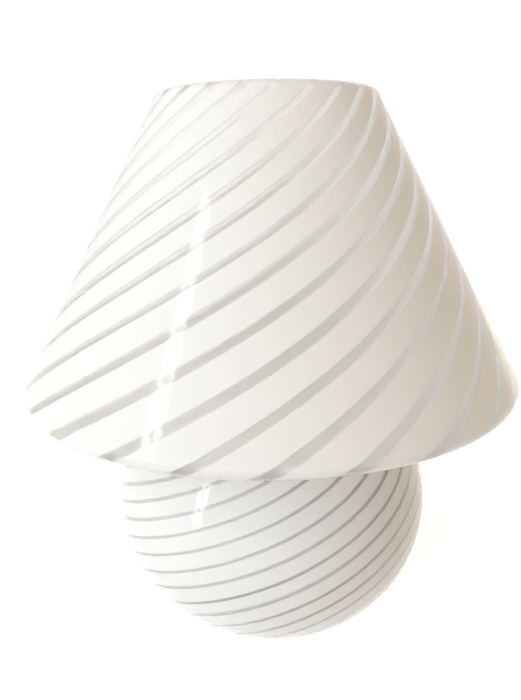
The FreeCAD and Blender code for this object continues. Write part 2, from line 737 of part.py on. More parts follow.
def make_grip_spring():
    """Makes the three-legged spring that presses outwards under the waist."""
    wall_radius = neck_centre - root(
        squared(size.neck_rounding + size.glass_wall) - squared(size.spring_drop)
    )
    grip_radius = wall_radius - double(size.spring_thickness) - size.seat_clearance
    grip_height = neck_height - size.spring_drop
    hole = size.nipple_radius + size.seat_clearance
    body = turned_body(
        "grip_spring", ring_corners(hole, size.spring_hub_radius, spring_height, hub_height)
    )
    leg = add_strip(body, "leg", [
        (half(size.spring_hub_radius), spring_height),
        (size.spring_hub_radius, spring_height),
        (grip_radius, grip_height),
        (grip_radius - size.spring_tip_length, grip_height - size.spring_tip_drop),
    ], size.spring_thickness, size.spring_width)
    repeat_round(body, leg, "leg_pattern", ARM_COUNT)
    turn_to(add_part(body, "grip_spring"), LEG_TURN)


def make_nipple():
    """Makes the threaded nipple, its two nuts and the toothed washer between arms and nut."""
    nipple_low = lower_nut_height - size.nipple_end_length
    nipple_high = cap_shoulder_height - size.nipple_top_gap
    turned_part(
        "threaded_nipple", ring_corners(size.nipple_bore, size.nipple_radius, nipple_low, nipple_high)
    )
    bore = size.nipple_radius + size.seat_clearance
    lower = hexagon_nut("lower_nut", size.nut_circle, bore, lower_nut_height, spring_height)
    upper = hexagon_nut("upper_nut", size.nut_circle, bore, upper_nut_height, cap_height)
    add_part(group("nut_group", [lower, upper]), "nipple_nuts")

    washer = turned_body(
        "lock_washer", ring_corners(bore, size.washer_radius, washer_low, upper_nut_height)
    )
    tooth = add_strip(washer, "tooth", [
        (half(bore + size.washer_radius), washer_low),
        (size.washer_radius + size.washer_tooth_length, washer_low),
    ], size.washer_height, size.washer_tooth_width)
    repeat_round(washer, tooth, "tooth_pattern", WASHER_TOOTH_COUNT)
    add_part(washer, "lock_washer")


def make_lampholder():
    """Makes the lampholder's cap, its locking screw, its sleeve and its porcelain insert."""
    thread = size.nipple_radius + size.seat_clearance
    shelf_radius = insert_radius - size.cap_shelf_width
    cap = turned_body("cap", [
        (thread, cap_height),
        (size.collar_radius, cap_height),
        (size.collar_radius, cap_shoulder_height),
        (holder_radius, cap_skirt_low),
        (holder_radius, cap_edge_height),
        (skirt_bore, cap_edge_height),
        (skirt_bore, insert_low),
        (shelf_radius, insert_low),
        (shelf_radius, cap_skirt_low),
        (thread, cap_shoulder_height),
    ])
    screw_height = cap_height + half(size.collar_height)
    screw_start = size.nipple_radius + double(size.seat_clearance)
    screw_hole = side_rod(
        "cap_screw_hole", size.cap_screw_radius + size.seat_clearance,
        screw_start, size.collar_radius + size.cut_overrun, screw_height
    )
    add_part(cut("cap_cut", cap, screw_hole), "holder_cap")
    screw_stop = screw_start + size.cap_screw_length
    screw = side_rod("cap_screw_rod", size.cap_screw_radius, screw_start, screw_stop, screw_height)
    add_part(screw, "cap_screw")

    step_height = insert_high + size.sleeve_bevel_height
    top_bore = mouth_radius + size.mouth_width
    top_radius = top_bore + size.holder_wall
    turned_part("holder_sleeve", [
        (skirt_bore, cap_edge_height),
        (holder_radius, cap_edge_height),
        (holder_radius, insert_high),
        (top_radius, step_height),
        (top_radius, sleeve_top),
        (mouth_radius, sleeve_top),
        (mouth_radius, sleeve_top - size.mouth_thickness),
        (top_bore, sleeve_top - size.mouth_thickness),
        (top_bore, step_height),
        (skirt_bore, insert_high),
    ])
    make_insert()


def side_rod(name, radius, start, stop, height):
    """Makes a rod that points along +X at a height."""
    rod = document.addObject("Part::Cylinder", name)
    rod.Placement = turned((0, 1, 0), QUARTER_TURN)
    rod.setExpression("Radius", radius.text)
    rod.setExpression("Height", (stop - start).text)
    rod.setExpression("Placement.Base.x", start.text)
    rod.setExpression("Placement.Base.z", height.text)
    return rod


def make_insert():
    """Makes the porcelain insert with its well, terminal pockets and rivet holes."""
    body = turned_body("insert", [
        (ZERO, insert_low),
        (insert_radius, insert_low),
        (insert_radius, insert_high),
        (well_radius, insert_high),
        (well_radius, well_height),
        (ZERO, well_height),
    ])
    pocket_length = size.terminal_length + double(size.terminal_fit)
    pocket_width = size.terminal_width + double(size.terminal_fit)
    pocket_top = insert_low + size.terminal_height
    rivet_hole = size.rivet_radius + size.seat_clearance
    tools = []
    for name, offset, rivet in (
        ("live", -size.terminal_offset, -size.live_rivet_offset),
        ("neutral", size.terminal_offset, size.shell_rivet_offset),
    ):
        low = insert_low - size.cut_overrun
        high = well_height + size.cut_overrun
        tools.append(block(f"{name}_pocket", offset, pocket_length, pocket_width, low, pocket_top))
        tools.append(cylinder(f"{name}_rivet_hole", rivet_hole, low, high, rivet))
    add_part(cut("insert_cut", body, fuse("insert_tools", tools)), "holder_insert")

    blocks = []
    screws = []
    for name, offset in (("live", -size.terminal_offset), ("neutral", size.terminal_offset)):
        bottom = insert_low - size.cut_overrun
        screw_top = insert_low + size.terminal_screw_length
        solid = block(
            f"{name}_block", offset, size.terminal_length, size.terminal_width, insert_low, pocket_top
        )
        hole_radius = size.terminal_screw_radius + size.seat_clearance
        hole = cylinder(f"{name}_screw_hole", hole_radius, bottom, screw_top, offset)
        blocks.append(cut(f"{name}_terminal", solid, hole))
        shank = cylinder(f"{name}_shank", size.terminal_screw_radius, insert_low, screw_top, offset)
        head_low = insert_low - size.terminal_head_height
        head = cylinder(f"{name}_head", size.terminal_head_radius, head_low, insert_low, offset)
        screws.append(fuse(f"{name}_screw", [shank, head]))
    add_part(group("terminal_group", blocks), "terminals")
    add_part(group("terminal_screw_group", screws), "terminal_screws")


def make_contacts():
    """Makes the screw shell, the contact tongue and the two rivets that hold them."""
    flange_radius = shell_outer + size.shell_flange_width
    flange_high = insert_high + size.shell_wall
    floor_high = well_height + size.shell_wall
    shell = turned_body("shell", [
        (size.shell_floor_radius, well_height),
        (shell_outer, well_height),
        (shell_outer, insert_high),
        (flange_radius, insert_high),
        (flange_radius, flange_high),
        (size.shell_radius, flange_high),
        (size.shell_radius, floor_high),
        (size.shell_floor_radius, floor_high),
    ])
    rivet_hole = size.rivet_radius + size.seat_clearance
    shell_hole = cylinder(
        "shell_rivet_hole", rivet_hole, well_height - size.cut_overrun, floor_high + size.cut_overrun,
        size.shell_rivet_offset
    )
    add_part(cut("shell_cut", shell, shell_hole), "thread_shell")

    tongue = new_body("tongue")
    rise = well_height + size.tongue_rise
    add_strip(tongue, "tongue", [
        (-size.tongue_root_length, well_height),
        (-size.tongue_bend_length, well_height),
        (-size.tongue_flat_length, rise),
        (size.tongue_flat_length, rise),
    ], size.tongue_thickness, size.tongue_width)
    tongue_hole = cylinder(
        "tongue_rivet_hole", rivet_hole, well_height - size.cut_overrun, well_height + size.tongue_rise,
        -size.live_rivet_offset
    )
    add_part(cut("tongue_cut", tongue, tongue_hole), "contact_tongue")

    rivets = []
    pocket_top = insert_low + size.terminal_height
    for name, offset, seat in (
        ("live", -size.live_rivet_offset, well_height + size.tongue_thickness),
        ("shell", size.shell_rivet_offset, floor_high),
    ):
        shank = cylinder(f"{name}_rivet_shank", size.rivet_radius, pocket_top, seat, offset)
        head_top = seat + size.rivet_head_height
        head = cylinder(f"{name}_rivet_head", size.rivet_head_radius, seat, head_top, offset)
        rivets.append(fuse(f"{name}_rivet", [shank, head]))
    add_part(group("rivet_group", rivets), "contact_rivets")


def draw_bulb_glass(sketch):
    """Draws the bulb's wall: a neck that runs through a hollow into the ball."""
    wall = size.bulb_wall
    ball = (0.0, ball_height.value)
    hollow = (hollow_centre.value, hollow_height.value)
    meeting = bearing(hollow, ball)
    low = bulb_neck_low.value
    outer_neck = size.bulb_neck_radius
    inner_neck = outer_neck - wall
    up = math.pi / 2

    outline = Outline(sketch)
    outer_line = outline.line((outer_neck.value, low), (outer_neck.value, hollow[1]))
    hollow_arc = outline.arc(hollow, size.bulb_neck_rounding.value, math.pi, meeting)
    ball_arc = outline.arc(ball, size.ball_radius.value, meeting - math.pi, up)
    ball_top = ball[1] + size.ball_radius.value
    axis_line = outline.line((0, ball_top), (0, ball_top - wall.value))
    inner_ball = outline.arc(ball, size.ball_radius.value - wall.value, up, meeting - math.pi)
    inner_hollow = outline.arc(hollow, size.bulb_neck_rounding.value + wall.value, meeting, math.pi)
    inner_line = outline.line((inner_neck.value, hollow[1]), (inner_neck.value, low))
    bottom_line = outline.line((inner_neck.value, low), (outer_neck.value, low))
    outline.join(corners=(2, 3, 6, 7))

    for upright in (outer_line, axis_line, inner_line):
        sketch.addConstraint(Sketcher.Constraint("Vertical", upright))
    sketch.addConstraint(Sketcher.Constraint("Horizontal", bottom_line))
    fix_point(sketch, outer_line, 1, size.bulb_neck_radius, bulb_neck_low)
    fix_radius(sketch, hollow_arc, size.bulb_neck_rounding)
    fix_radius(sketch, ball_arc, size.ball_radius)
    fix_point(sketch, ball_arc, 3, ZERO, ball_height)
    fix_distance(sketch, "DistanceX", axis_line, 1, ZERO)
    fix_radius(sketch, inner_ball, size.ball_radius - wall)
    sketch.addConstraint(Sketcher.Constraint("Coincident", inner_ball, 3, ball_arc, 3))
    sketch.addConstraint(Sketcher.Constraint("Coincident", inner_hollow, 3, hollow_arc, 3))


def make_bulb():
    """Makes the golf-ball bulb: envelope, screw cap, insulator, tip contact, stem and filaments."""
    body = new_body("envelope")
    sketch = start_sketch(body, "XZ_Plane", "envelope_outline")
    draw_bulb_glass(sketch)
    revolve_sketch(body, sketch, "envelope_turned")
    add_part(body, "bulb_envelope")

    turned_part("tip_contact", [
        (ZERO, bulb_low),
        (half(size.tip_radius), bulb_low),
        (size.tip_radius, insulator_low),
        (ZERO, insulator_low),
    ])
    plug_high = bulb_cap_low + size.insulator_plug_height
    plug_radius = insulator_radius - size.bulb_cap_wall
    turned_part("cap_insulator", [
        (ZERO, insulator_low),
        (size.tip_radius, insulator_low),
        (insulator_radius, bulb_cap_low),
        (plug_radius, bulb_cap_low),
        (plug_radius, plug_high),
        (ZERO, plug_high),
    ])
    collar_high = flare_high + size.bulb_cap_collar
    cap_inner = bulb_cap_radius - size.bulb_cap_wall
    turned_part("bulb_cap", [
        (plug_radius + size.seat_clearance, bulb_cap_low),
        (insulator_radius, bulb_cap_low),
        (bulb_cap_radius, bevel_high),
        (bulb_cap_radius, straight_high),
        (collar_outer, flare_high),
        (collar_outer, collar_high),
        (collar_inner, collar_high),
        (collar_inner, flare_high),
        (cap_inner, straight_high),
        (cap_inner, bevel_high),
    ])
    make_bulb_inside()


def make_bulb_inside():
    """Makes the glass stem, the wire frame on it and the filament rods between its spokes."""
    skirt_radius = size.bulb_neck_radius - size.bulb_wall - size.seat_clearance
    skirt_high = bulb_neck_low + size.stem_skirt_height
    cone_high = skirt_high + size.stem_cone_height
    turned_part("bulb_stem", [
        (ZERO, bulb_neck_low),
        (skirt_radius, bulb_neck_low),
        (skirt_radius, skirt_high),
        (size.stem_rod_radius, cone_high),
        (size.stem_rod_radius, stem_top),
        (ZERO, stem_top),
    ])
    filament_high = filament_low + size.filament_length
    spoke_reach = double(size.filament_circle + size.filament_radius)
    frame = [cylinder("frame_post", size.wire_radius, stem_top, filament_high + size.spoke_height)]
    for name, low in (("lower", stem_top), ("upper", filament_high)):
        high = low + size.spoke_height
        frame.append(block(f"{name}_spoke_across", ZERO, spoke_reach, size.spoke_width, low, high))
        frame.append(block(f"{name}_spoke_along", ZERO, size.spoke_width, spoke_reach, low, high))
    add_part(fuse("frame_fuse", frame), "filament_frame")

    rods = []
    for number in range(FILAMENT_COUNT):
        rod = cylinder(
            f"filament_{number}", size.filament_radius, filament_low, filament_high, size.filament_circle
        )
        turn = number * FULL_TURN / FILAMENT_COUNT
        rods.append(turn_to(group(f"filament_place_{number}", [rod]), turn))
    add_part(group("filament_group", rods), "filaments")


def check_document():
    """Stops unless every object was made and every sub-part is whole."""
    for item in document.Objects:
        if "Invalid" in item.State or "Error" in item.State:
            raise RuntimeError(f"{item.Name} could not be made: {item.State}")
        if item.TypeId == "Sketcher::SketchObject" and item.solve() != 0:
            raise RuntimeError(f"{item.Name} does not solve")
    for piece in parts:
        if piece.Shape.isNull() or not piece.Shape.isValid():
            raise RuntimeError(f"{piece.Label} has no valid shape")
        if not piece.Shape.Solids:
            raise RuntimeError(f"{piece.Label} holds no solid")


def write_parts():
    """Writes each sub-part to a file of its own."""
    os.makedirs("parts", exist_ok=True)
    for piece in parts:
        piece.Shape.exportStep(f"parts/{piece.Label}.step")
        print(piece.Label, len(piece.Shape.Solids), round(piece.Shape.Volume, 1))


make_glass()
make_cord_bush()
make_support_arms()
make_grip_spring()
make_nipple()
make_lampholder()
make_contacts()
make_bulb()
document.recompute()
check_document()
write_parts()
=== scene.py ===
"""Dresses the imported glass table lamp: its striped blown glass, the sprung fitting, the bulb and the cord bush.

Metres, +Z up, the front is -Y. The lamp's axis is the Z axis, and outlines are (distance from the axis, height).
"""

import logging
import math
import random
from collections.abc import Callable, Mapping, Sequence
from dataclasses import dataclass, field
from enum import Enum, IntEnum

import bmesh
import bpy
from mathutils import Matrix, Vector


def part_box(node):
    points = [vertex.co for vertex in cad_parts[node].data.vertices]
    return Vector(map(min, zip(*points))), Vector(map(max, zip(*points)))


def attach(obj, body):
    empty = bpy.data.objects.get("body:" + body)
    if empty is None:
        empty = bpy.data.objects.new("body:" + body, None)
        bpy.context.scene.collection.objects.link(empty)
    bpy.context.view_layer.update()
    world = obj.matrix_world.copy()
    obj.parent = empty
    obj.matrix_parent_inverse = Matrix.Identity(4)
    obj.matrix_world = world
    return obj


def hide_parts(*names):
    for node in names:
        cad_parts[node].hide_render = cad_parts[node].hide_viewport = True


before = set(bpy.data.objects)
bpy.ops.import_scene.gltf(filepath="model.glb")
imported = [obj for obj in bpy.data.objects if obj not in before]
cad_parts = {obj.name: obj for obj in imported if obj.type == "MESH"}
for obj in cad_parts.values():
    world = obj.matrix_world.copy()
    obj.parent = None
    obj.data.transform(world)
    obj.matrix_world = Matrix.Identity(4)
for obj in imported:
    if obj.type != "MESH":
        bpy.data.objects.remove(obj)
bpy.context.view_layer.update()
log = logging.getLogger("lamp")

Point = tuple[float, float]
Place = tuple[float, float, float]
Colour = tuple[float, float, float]
Shape = bmesh.types.BMesh
Node = bpy.types.Node
Socket = bpy.types.NodeSocket
Tree = bpy.types.NodeTree
Material = bpy.types.Material
Sockets = Mapping[str, Socket]
Marks = dict[bmesh.types.BMVert, tuple[int, int]]

# Places nearer to each other than MERGE are one place, and a face thinner than SLIVER has collapsed
MERGE = 1e-7
SLIVER = 2e-6
PLACE_DIGITS = 7

# Corners of the CAD's triangles this near are one corner, and those that meet this flat are one face
WELD = 1e-6
FLAT = math.radians(1.0)

# Pieces whose roundings turn by 30 degrees at each edge stay crisp above this turn
CRISP = 32.0

# The play between two pieces, and how far a cutter reaches past a face
CLEARANCE = 0.00005
PAST = 0.001

CIRCLE = 2.0 * math.pi
RIGHT = math.pi / 2.0
WHITE = (1.0, 1.0, 1.0)
GLASS_IOR = 1.5


class Steps(IntEnum):
    """How many columns a turned surface has."""

    LARGE = 96
    THREADED = 72
    MIDDLE = 64
    SMALL = 48
    SCREW = 40
    RIVET = 32
    FINE = 24


class Slot(Enum):
    """The record's material slots."""

    GLASS = "striped_glass"
    BUSH = "bush_plastic"
    SEAL = "soft_seal"
    WHITE_STEEL = "white_steel"
    SPRING = "spring_steel"
    ZINC = "zinc_steel"
    HOLDER = "holder_plastic"
    PORCELAIN = "porcelain"
    BRASS = "contact_brass"
    SHELL = "shell_metal"
    BULB_GLASS = "bulb_glass"
    BLACK_GLASS = "black_glass"
    FILAMENT = "filament_coat"


class Body(Enum):
    """The bodies that pieces ride on."""

    ROOT = "root"
    TIP = "bulb_tip"
    BULB = "bulb"


# Outlines and meshes


def on_circle(centre: Point, radius: float, angle: float) -> Point:
    """Point of a circle at an angle."""
    return centre[0] + radius * math.cos(angle), centre[1] + radius * math.sin(angle)


def arc(centre: Point, radius: float, start: float, stop: float, count: int) -> list[Point]:
    """Places along an arc from one angle to another in a count of steps, both ends with it."""
    return [on_circle(centre, radius, start + (stop - start) * step / count) for step in range(count + 1)]


def run(start: Point, stop: Point, count: int) -> list[Point]:
    """Places along a straight line in a count of steps, both ends with it."""
    (left, low), (right, high) = start, stop
    return [(left + (right - left) * step / count, low + (high - low) * step / count) for step in range(count + 1)]


def rounded(radius: float, height: float) -> Point:
    """A place, rounded so that it can be looked up."""
    return round(radius, PLACE_DIGITS), round(height, PLACE_DIGITS)


def chain(sections: Sequence[list[Point]]) -> list[Point]:
    """Joins sections into one line, with the place that two of them share taken once."""
    return sections[0] + [place for section in sections[1:] for place in section[1:]]


def bearing(start: Point, stop: Point) -> float:
    """Angle of the line from one place to another."""
    return math.atan2(stop[1] - start[1], stop[0] - start[0])


def smooth_step(value: float) -> float:
    """Eases 0 to 1."""
    held = min(max(value, 0.0), 1.0)
    return held * held * (3.0 - 2.0 * held)


def wave(shape: Point, way: float, start: float) -> float:
    """One wave along a way, by its height and its rate."""
    return shape[0] * math.sin(way * shape[1] + start)


def eased(share: float, length: float, start: Point, stop: Point) -> float:
    """Runs smoothly from one value to another.

    Args:
        share: Share of the way that is done.
        length: The whole way.
        start: Value and slope at its start.
        stop: Value and slope at its end.

    Returns:
        The value at that share.
    """
    square, cube = share ** 2, share ** 3
    return (
        (2 * cube - 3 * square + 1) * start[0] + (cube - 2 * square + share) * length * start[1]
        + (3 * square - 2 * cube) * stop[0] + (cube - square) * length * stop[1]
    )


def spin_outline(outline: Sequence[Point], steps: int) -> Shape:
    """Turns an outline once round the Z axis.

    Args:
        outline: Places as (distance from the axis, height). One that starts on the axis ends there too, and
            any other runs back to its first place.
        steps: How many columns the turned surface has.

    Returns:
        A closed mesh with outward faces.
    """
    mesh = bmesh.new()
    verts = [mesh.verts.new((radius, 0.0, height)) for radius, height in outline]
    following = verts[1:] if outline[0][0] < MERGE else verts[1:] + verts[:1]
    edges = [mesh.edges.new(pair) for pair in zip(verts, following)]
    bmesh.ops.spin(
        mesh, geom=verts + edges, cent=(0, 0, 0), axis=(0, 0, 1), dvec=(0, 0, 0), angle=CIRCLE,
        steps=steps, use_merge=True, use_duplicate=False,
    )
    bmesh.ops.remove_doubles(mesh, verts=mesh.verts, dist=MERGE)
    bmesh.ops.recalc_face_normals(mesh, faces=mesh.faces)
    return mesh


def soften(mesh: Shape, width: float, segments: int = 2, angle: float = 30.0) -> Shape:
    """Rounds every sharp edge.

    Args:
        mesh: The mesh to soften.
        width: Width of the rounding.
        segments: Faces across it.
        angle: Edges that turn by more degrees than this are sharp.

    Returns:
        The same mesh.
    """
    sharp = [edge for edge in mesh.edges if edge.is_manifold and edge.calc_face_angle() > math.radians(angle)]
    bmesh.ops.bevel(
        mesh, geom=sharp, offset=width, offset_type="OFFSET", affect="EDGES", segments=segments,
        profile=0.5, material=-1, clamp_overlap=True,
    )
    return mesh


def moved(mesh: Shape, matrix: Matrix) -> Shape:
    """Moves a whole mesh."""
    bmesh.ops.transform(mesh, matrix=matrix, verts=mesh.verts)
    return mesh


def beside(mesh: Shape, distance: float) -> Shape:
    """Moves a whole mesh along X."""
    return moved(mesh, Matrix.Translation((distance, 0.0, 0.0)))


def as_data(mesh: Shape, name: str) -> bpy.types.Mesh:
    """Turns a working mesh into mesh data.

    Args:
        mesh: The working mesh, which is freed.
        name: Name of the data.

    Returns:
        The mesh data.
    """
    data = bpy.data.meshes.new(name)
    mesh.to_mesh(data)
    mesh.free()
    return data


def show(name: str, data: bpy.types.ID) -> bpy.types.Object:
    """Puts an object into the scene.

    Args:
        name: Its name.
        data: Its data.

    Returns:
        The object.
    """
    thing = bpy.data.objects.new(name, data)
    bpy.context.scene.collection.objects.link(thing)
    return thing


def join(meshes: Sequence[Shape]) -> Shape:
    """Puts several meshes into the first.

    Args:
        meshes: The meshes. The others are freed.

    Returns:
        The first mesh.
    """
    for mesh in meshes[1:]:
        carrier = as_data(mesh, "carrier")
        meshes[0].from_mesh(carrier)
        bpy.data.meshes.remove(carrier)
    return meshes[0]


@dataclass(frozen=True)
class Thread:
    """A right-hand thread, by the rise of a turn, the depth of its root and the rings that each turn gets."""

    pitch: float
    depth: float
    rings_each: int
    reach: float = 0.0001

    def rings(self, length: float) -> int:
        """How many rings a threaded length needs."""
        return round(length / self.pitch * self.rings_each)

    def press(self, mesh: Shape, span: Point, radii: Point) -> None:
        """Presses the thread into the upright faces of a turned mesh.

        Args:
            mesh: The mesh, turned about the Z axis.
            span: Heights where the thread starts and ends.
            radii: Radii of the innermost and of the outermost face that take the thread.
        """
        low, high = span
        for vert in mesh.verts:
            radius = math.hypot(vert.co.x, vert.co.y)
            height = vert.co.z
            if not (low < height < high and radii[0] - self.reach < radius < radii[1] + self.reach):
                continue
            phase = math.atan2(vert.co.y, vert.co.x) - CIRCLE * height / self.pitch
            ease = smooth_step(2.0 * (height - low) / self.pitch) * smooth_step(2.0 * (high - height) / self.pitch)
            share = 1.0 - self.depth * ease * (0.5 - 0.5 * math.cos(phase)) / radius
            vert.co.x *= share
            vert.co.y *= share


NIPPLE_THREAD = Thread(0.001, 0.00045, 8)
LAMP_THREAD = Thread(0.002822, 0.0006, 12)


def carved(mesh: Shape, cutters: Sequence[Shape]) -> Shape:
    """Cuts closed shapes out of a mesh.

    Args:
        mesh: The mesh to cut.
        cutters: The closed shapes.

    Returns:
        The same mesh, cut.
    """
    whole = bpy.data.meshes.new("carving")
    mesh.to_mesh(whole)
    things = [show("carving", data) for data in (whole, *(as_data(cutter, "carving") for cutter in cutters))]
    for cutter in things[1:]:
        modifier = things[0].modifiers.new("carving", "BOOLEAN")
        modifier.operation = "DIFFERENCE"
        modifier.solver = "EXACT"
        modifier.object = cutter
    graph = bpy.context.evaluated_depsgraph_get()
    result = bpy.data.meshes.new_from_object(things[0].evaluated_get(graph))
    mesh.clear()
    mesh.from_mesh(result)
    bpy.data.meshes.remove(result)
    for thing in things:
        data = thing.data
        bpy.data.objects.remove(thing)
        bpy.data.meshes.remove(data)
    return mesh


def block(sizes: Place, centre: Place) -> Shape:
    """A box.

    Args:
        sizes: Its length, width and height.
        centre: Its middle.

    Returns:
        The box's mesh.
    """
    mesh = bmesh.new()
    bmesh.ops.create_cube(mesh, size=1.0)
    return moved(mesh, Matrix.Translation(centre) @ Matrix.Diagonal((*sizes, 1.0)))


def rod(radius: float, low: float, high: float, steps: int = Steps.SMALL) -> Shape:
    """A plain upright rod on the Z axis, with closed ends."""
    return spin_outline([(0.0, low), (radius, low), (radius, high), (0.0, high)], steps)


def hexagon_nut(circle: float, bore: float, low: float, high: float, chamfer: float = 0.0005) -> Shape:
    """A six-sided nut with turned chamfers and its bore.

    Args:
        circle: Radius over the corners.
        bore: Radius of the bore.
        low: Height of its lower face.
        high: Height of its upper face.
        chamfer: Height of the turned chamfers at the corners.

    Returns:
        The nut's mesh.
    """
    inset = circle - chamfer * 1.9
    lead = chamfer * 0.6
    mesh = spin_outline(
        [
            (bore, low + lead), (bore + lead, low), (inset, low), (circle, low + chamfer),
            (circle, high - chamfer), (inset, high), (bore + lead, high), (bore, high - lead),
        ],
        Steps.LARGE,
    )
    flat = circle * math.cos(math.pi / 6.0)
    for side in range(6):
        angle = CIRCLE * (side + 0.5) / 6.0
        normal = Vector((math.cos(angle), math.sin(angle), 0.0))
        bmesh.ops.bisect_plane(
            mesh, geom=[*mesh.verts, *mesh.edges, *mesh.faces], dist=MERGE, plane_co=normal * flat,
            plane_no=normal, clear_outer=True,
        )
        bmesh.ops.holes_fill(mesh, edges=[edge for edge in mesh.edges if edge.is_boundary], sides=0)
    bmesh.ops.recalc_face_normals(mesh, faces=mesh.faces)
    return mesh


# Finishes


class Desk:
    """Adds nodes to one tree and wires them."""

    def __init__(self, tree: Tree) -> None:
        """Takes the tree to work on."""
        self.tree = tree

    def wire(self, node: Node, inputs: dict[str | int, object]) -> Node:
        """Wires sockets to a node's inputs, and sets those that are plain values.

        Args:
            node: The node.
            inputs: Sockets or values by the input's name or number.

        Returns:
            The same node.
        """
        for name, value in inputs.items():
            if isinstance(value, Socket):
                self.tree.links.new(value, node.inputs[name])
            else:
                node.inputs[name].default_value = value
        return node

    def add(self, kind: str, inputs: dict[str | int, object] | None = None, **settings: object) -> Node:
        """Adds one node.

        Args:
            kind: The node's type.
            inputs: Sockets or values by the input's name or number.
            **settings: The node's own settings.

        Returns:
            The node.
        """
        node = self.tree.nodes.new(kind)
        for name, value in settings.items():
            setattr(node, name, value)
        return self.wire(node, inputs or {})

    def noise(self, vector: Socket, scale: object, detail: float) -> Socket:
        """A noise value over a vector."""
        return self.add("ShaderNodeTexNoise", {"Vector": vector, "Scale": scale, "Detail": detail}).outputs["Fac"]

    def reckon(self, operation: str, first: object, second: object) -> Socket:
        """One arithmetic step."""
        return self.add("ShaderNodeMath", {0: first, 1: second}, operation=operation).outputs[0]

    def span(self, value: Socket, low: float, high: float, start: float = 0.0, stop: float = 1.0) -> Socket:
        """Maps low..high smoothly to start..stop."""
        ends = {"Value": value, "From Min": low, "From Max": high, "To Min": start, "To Max": stop}
        return self.add("ShaderNodeMapRange", ends, interpolation_type="SMOOTHSTEP").outputs["Result"]

    def blend(self, share: object, first: object, second: object) -> Socket:
        """Mixes two colours by a share."""
        colours = [(*side, 1.0) if isinstance(side, tuple) else side for side in (first, second)]
        return self.add("ShaderNodeMix", {0: share, 6: colours[0], 7: colours[1]}, data_type="RGBA").outputs[2]

    def seen(self) -> Socket:
        """Tells where a surface is looked at from where it only lights.

        Returns:
            1 where it is seen directly, in a reflection or through glass, and else 0.
        """
        path = self.add("ShaderNodeLightPath").outputs
        mirrored = self.reckon("MAXIMUM", path["Is Camera Ray"], path["Is Glossy Ray"])
        return self.reckon("MAXIMUM", mirrored, path["Is Transmission Ray"])


def start_group(name: str, inputs: dict[str, float], outputs: Sequence[str]) -> tuple[Desk, Sockets]:
    """Starts a shader node group that works over a vector.

    Args:
        name: The group's name.
        inputs: First values by name of the numbers that it takes beside the vector.
        outputs: Names of the values that it puts out.

    Returns:
        A desk for its tree, and the sockets of what it is given.
    """
    tree = bpy.data.node_groups.new(name, "ShaderNodeTree")
    tree.interface.new_socket("Vector", in_out="INPUT", socket_type="NodeSocketVector")
    for label, value in inputs.items():
        tree.interface.new_socket(label, in_out="INPUT", socket_type="NodeSocketFloat").default_value = value
    for label in outputs:
        tree.interface.new_socket(label, in_out="OUTPUT", socket_type="NodeSocketFloat")
    desk = Desk(tree)
    return desk, desk.add("NodeGroupInput").outputs


def blown_waves() -> Tree:
    """Slow waves of hand-blown glass and its cloudy thickness.

    Returns:
        The effect's node group.
    """
    desk, given = start_group("blown_waves", {"Wave Scale": 20.0, "Cloud Scale": 14.0}, ("Height", "Cloud"))
    slow = desk.noise(given["Vector"], given["Wave Scale"], 1.0)
    quick = desk.noise(given["Vector"], desk.reckon("MULTIPLY", given["Wave Scale"], 6.0), 2.0)
    height = desk.reckon("ADD", slow, desk.reckon("MULTIPLY", quick, 0.06))
    cloud = desk.span(desk.noise(given["Vector"], given["Cloud Scale"], 3.0), 0.3, 0.75)
    desk.add("NodeGroupOutput", {"Height": height, "Cloud": cloud})
    return desk.tree


def moulded_skin() -> Tree:
    """Fine pebbled skin of moulded or coated surfaces, and faint patches from handling.

    Returns:
        The effect's node group.
    """
    desk, given = start_group("moulded_skin", {"Grain Scale": 900.0, "Patch Scale": 90.0}, ("Height", "Patches"))
    grain = desk.noise(given["Vector"], given["Grain Scale"], 3.0)
    patches = desk.span(desk.noise(given["Vector"], given["Patch Scale"], 3.0), 0.35, 0.7)
    desk.add("NodeGroupOutput", {"Height": grain, "Patches": patches})
    return desk.tree


def metal_marks() -> Tree:
    """Rolling marks along a metal, its pits, and the cloudy tarnish over them.

    Returns:
        The effect's node group.
    """
    scales = {"Mark Scale": 500.0, "Tarnish Scale": 140.0}
    desk, given = start_group("metal_marks", scales, ("Height", "Marks", "Tarnish"))
    drawn_out = desk.add("ShaderNodeMapping", {"Vector": given["Vector"], "Scale": (1.0, 1.0, 0.08)}).outputs[0]
    marks = desk.noise(drawn_out, given["Mark Scale"], 4.0)
    tarnish = desk.span(desk.noise(given["Vector"], given["Tarnish Scale"], 4.0), 0.4, 0.72)
    specks = desk.noise(given["Vector"], desk.reckon("MULTIPLY", given["Mark Scale"], 3.0), 1.0)
    height = desk.reckon("ADD", marks, desk.span(specks, 0.68, 0.8, 0.0, -0.6))
    desk.add("NodeGroupOutput", {"Height": height, "Marks": desk.span(marks, 0.3, 0.7), "Tarnish": tarnish})
    return desk.tree


@dataclass(frozen=True)
class Effects:
    """The shared surface effects, each built once."""

    waves: Tree = field(default_factory=blown_waves)
    skin: Tree = field(default_factory=moulded_skin)
    marks: Tree = field(default_factory=metal_marks)


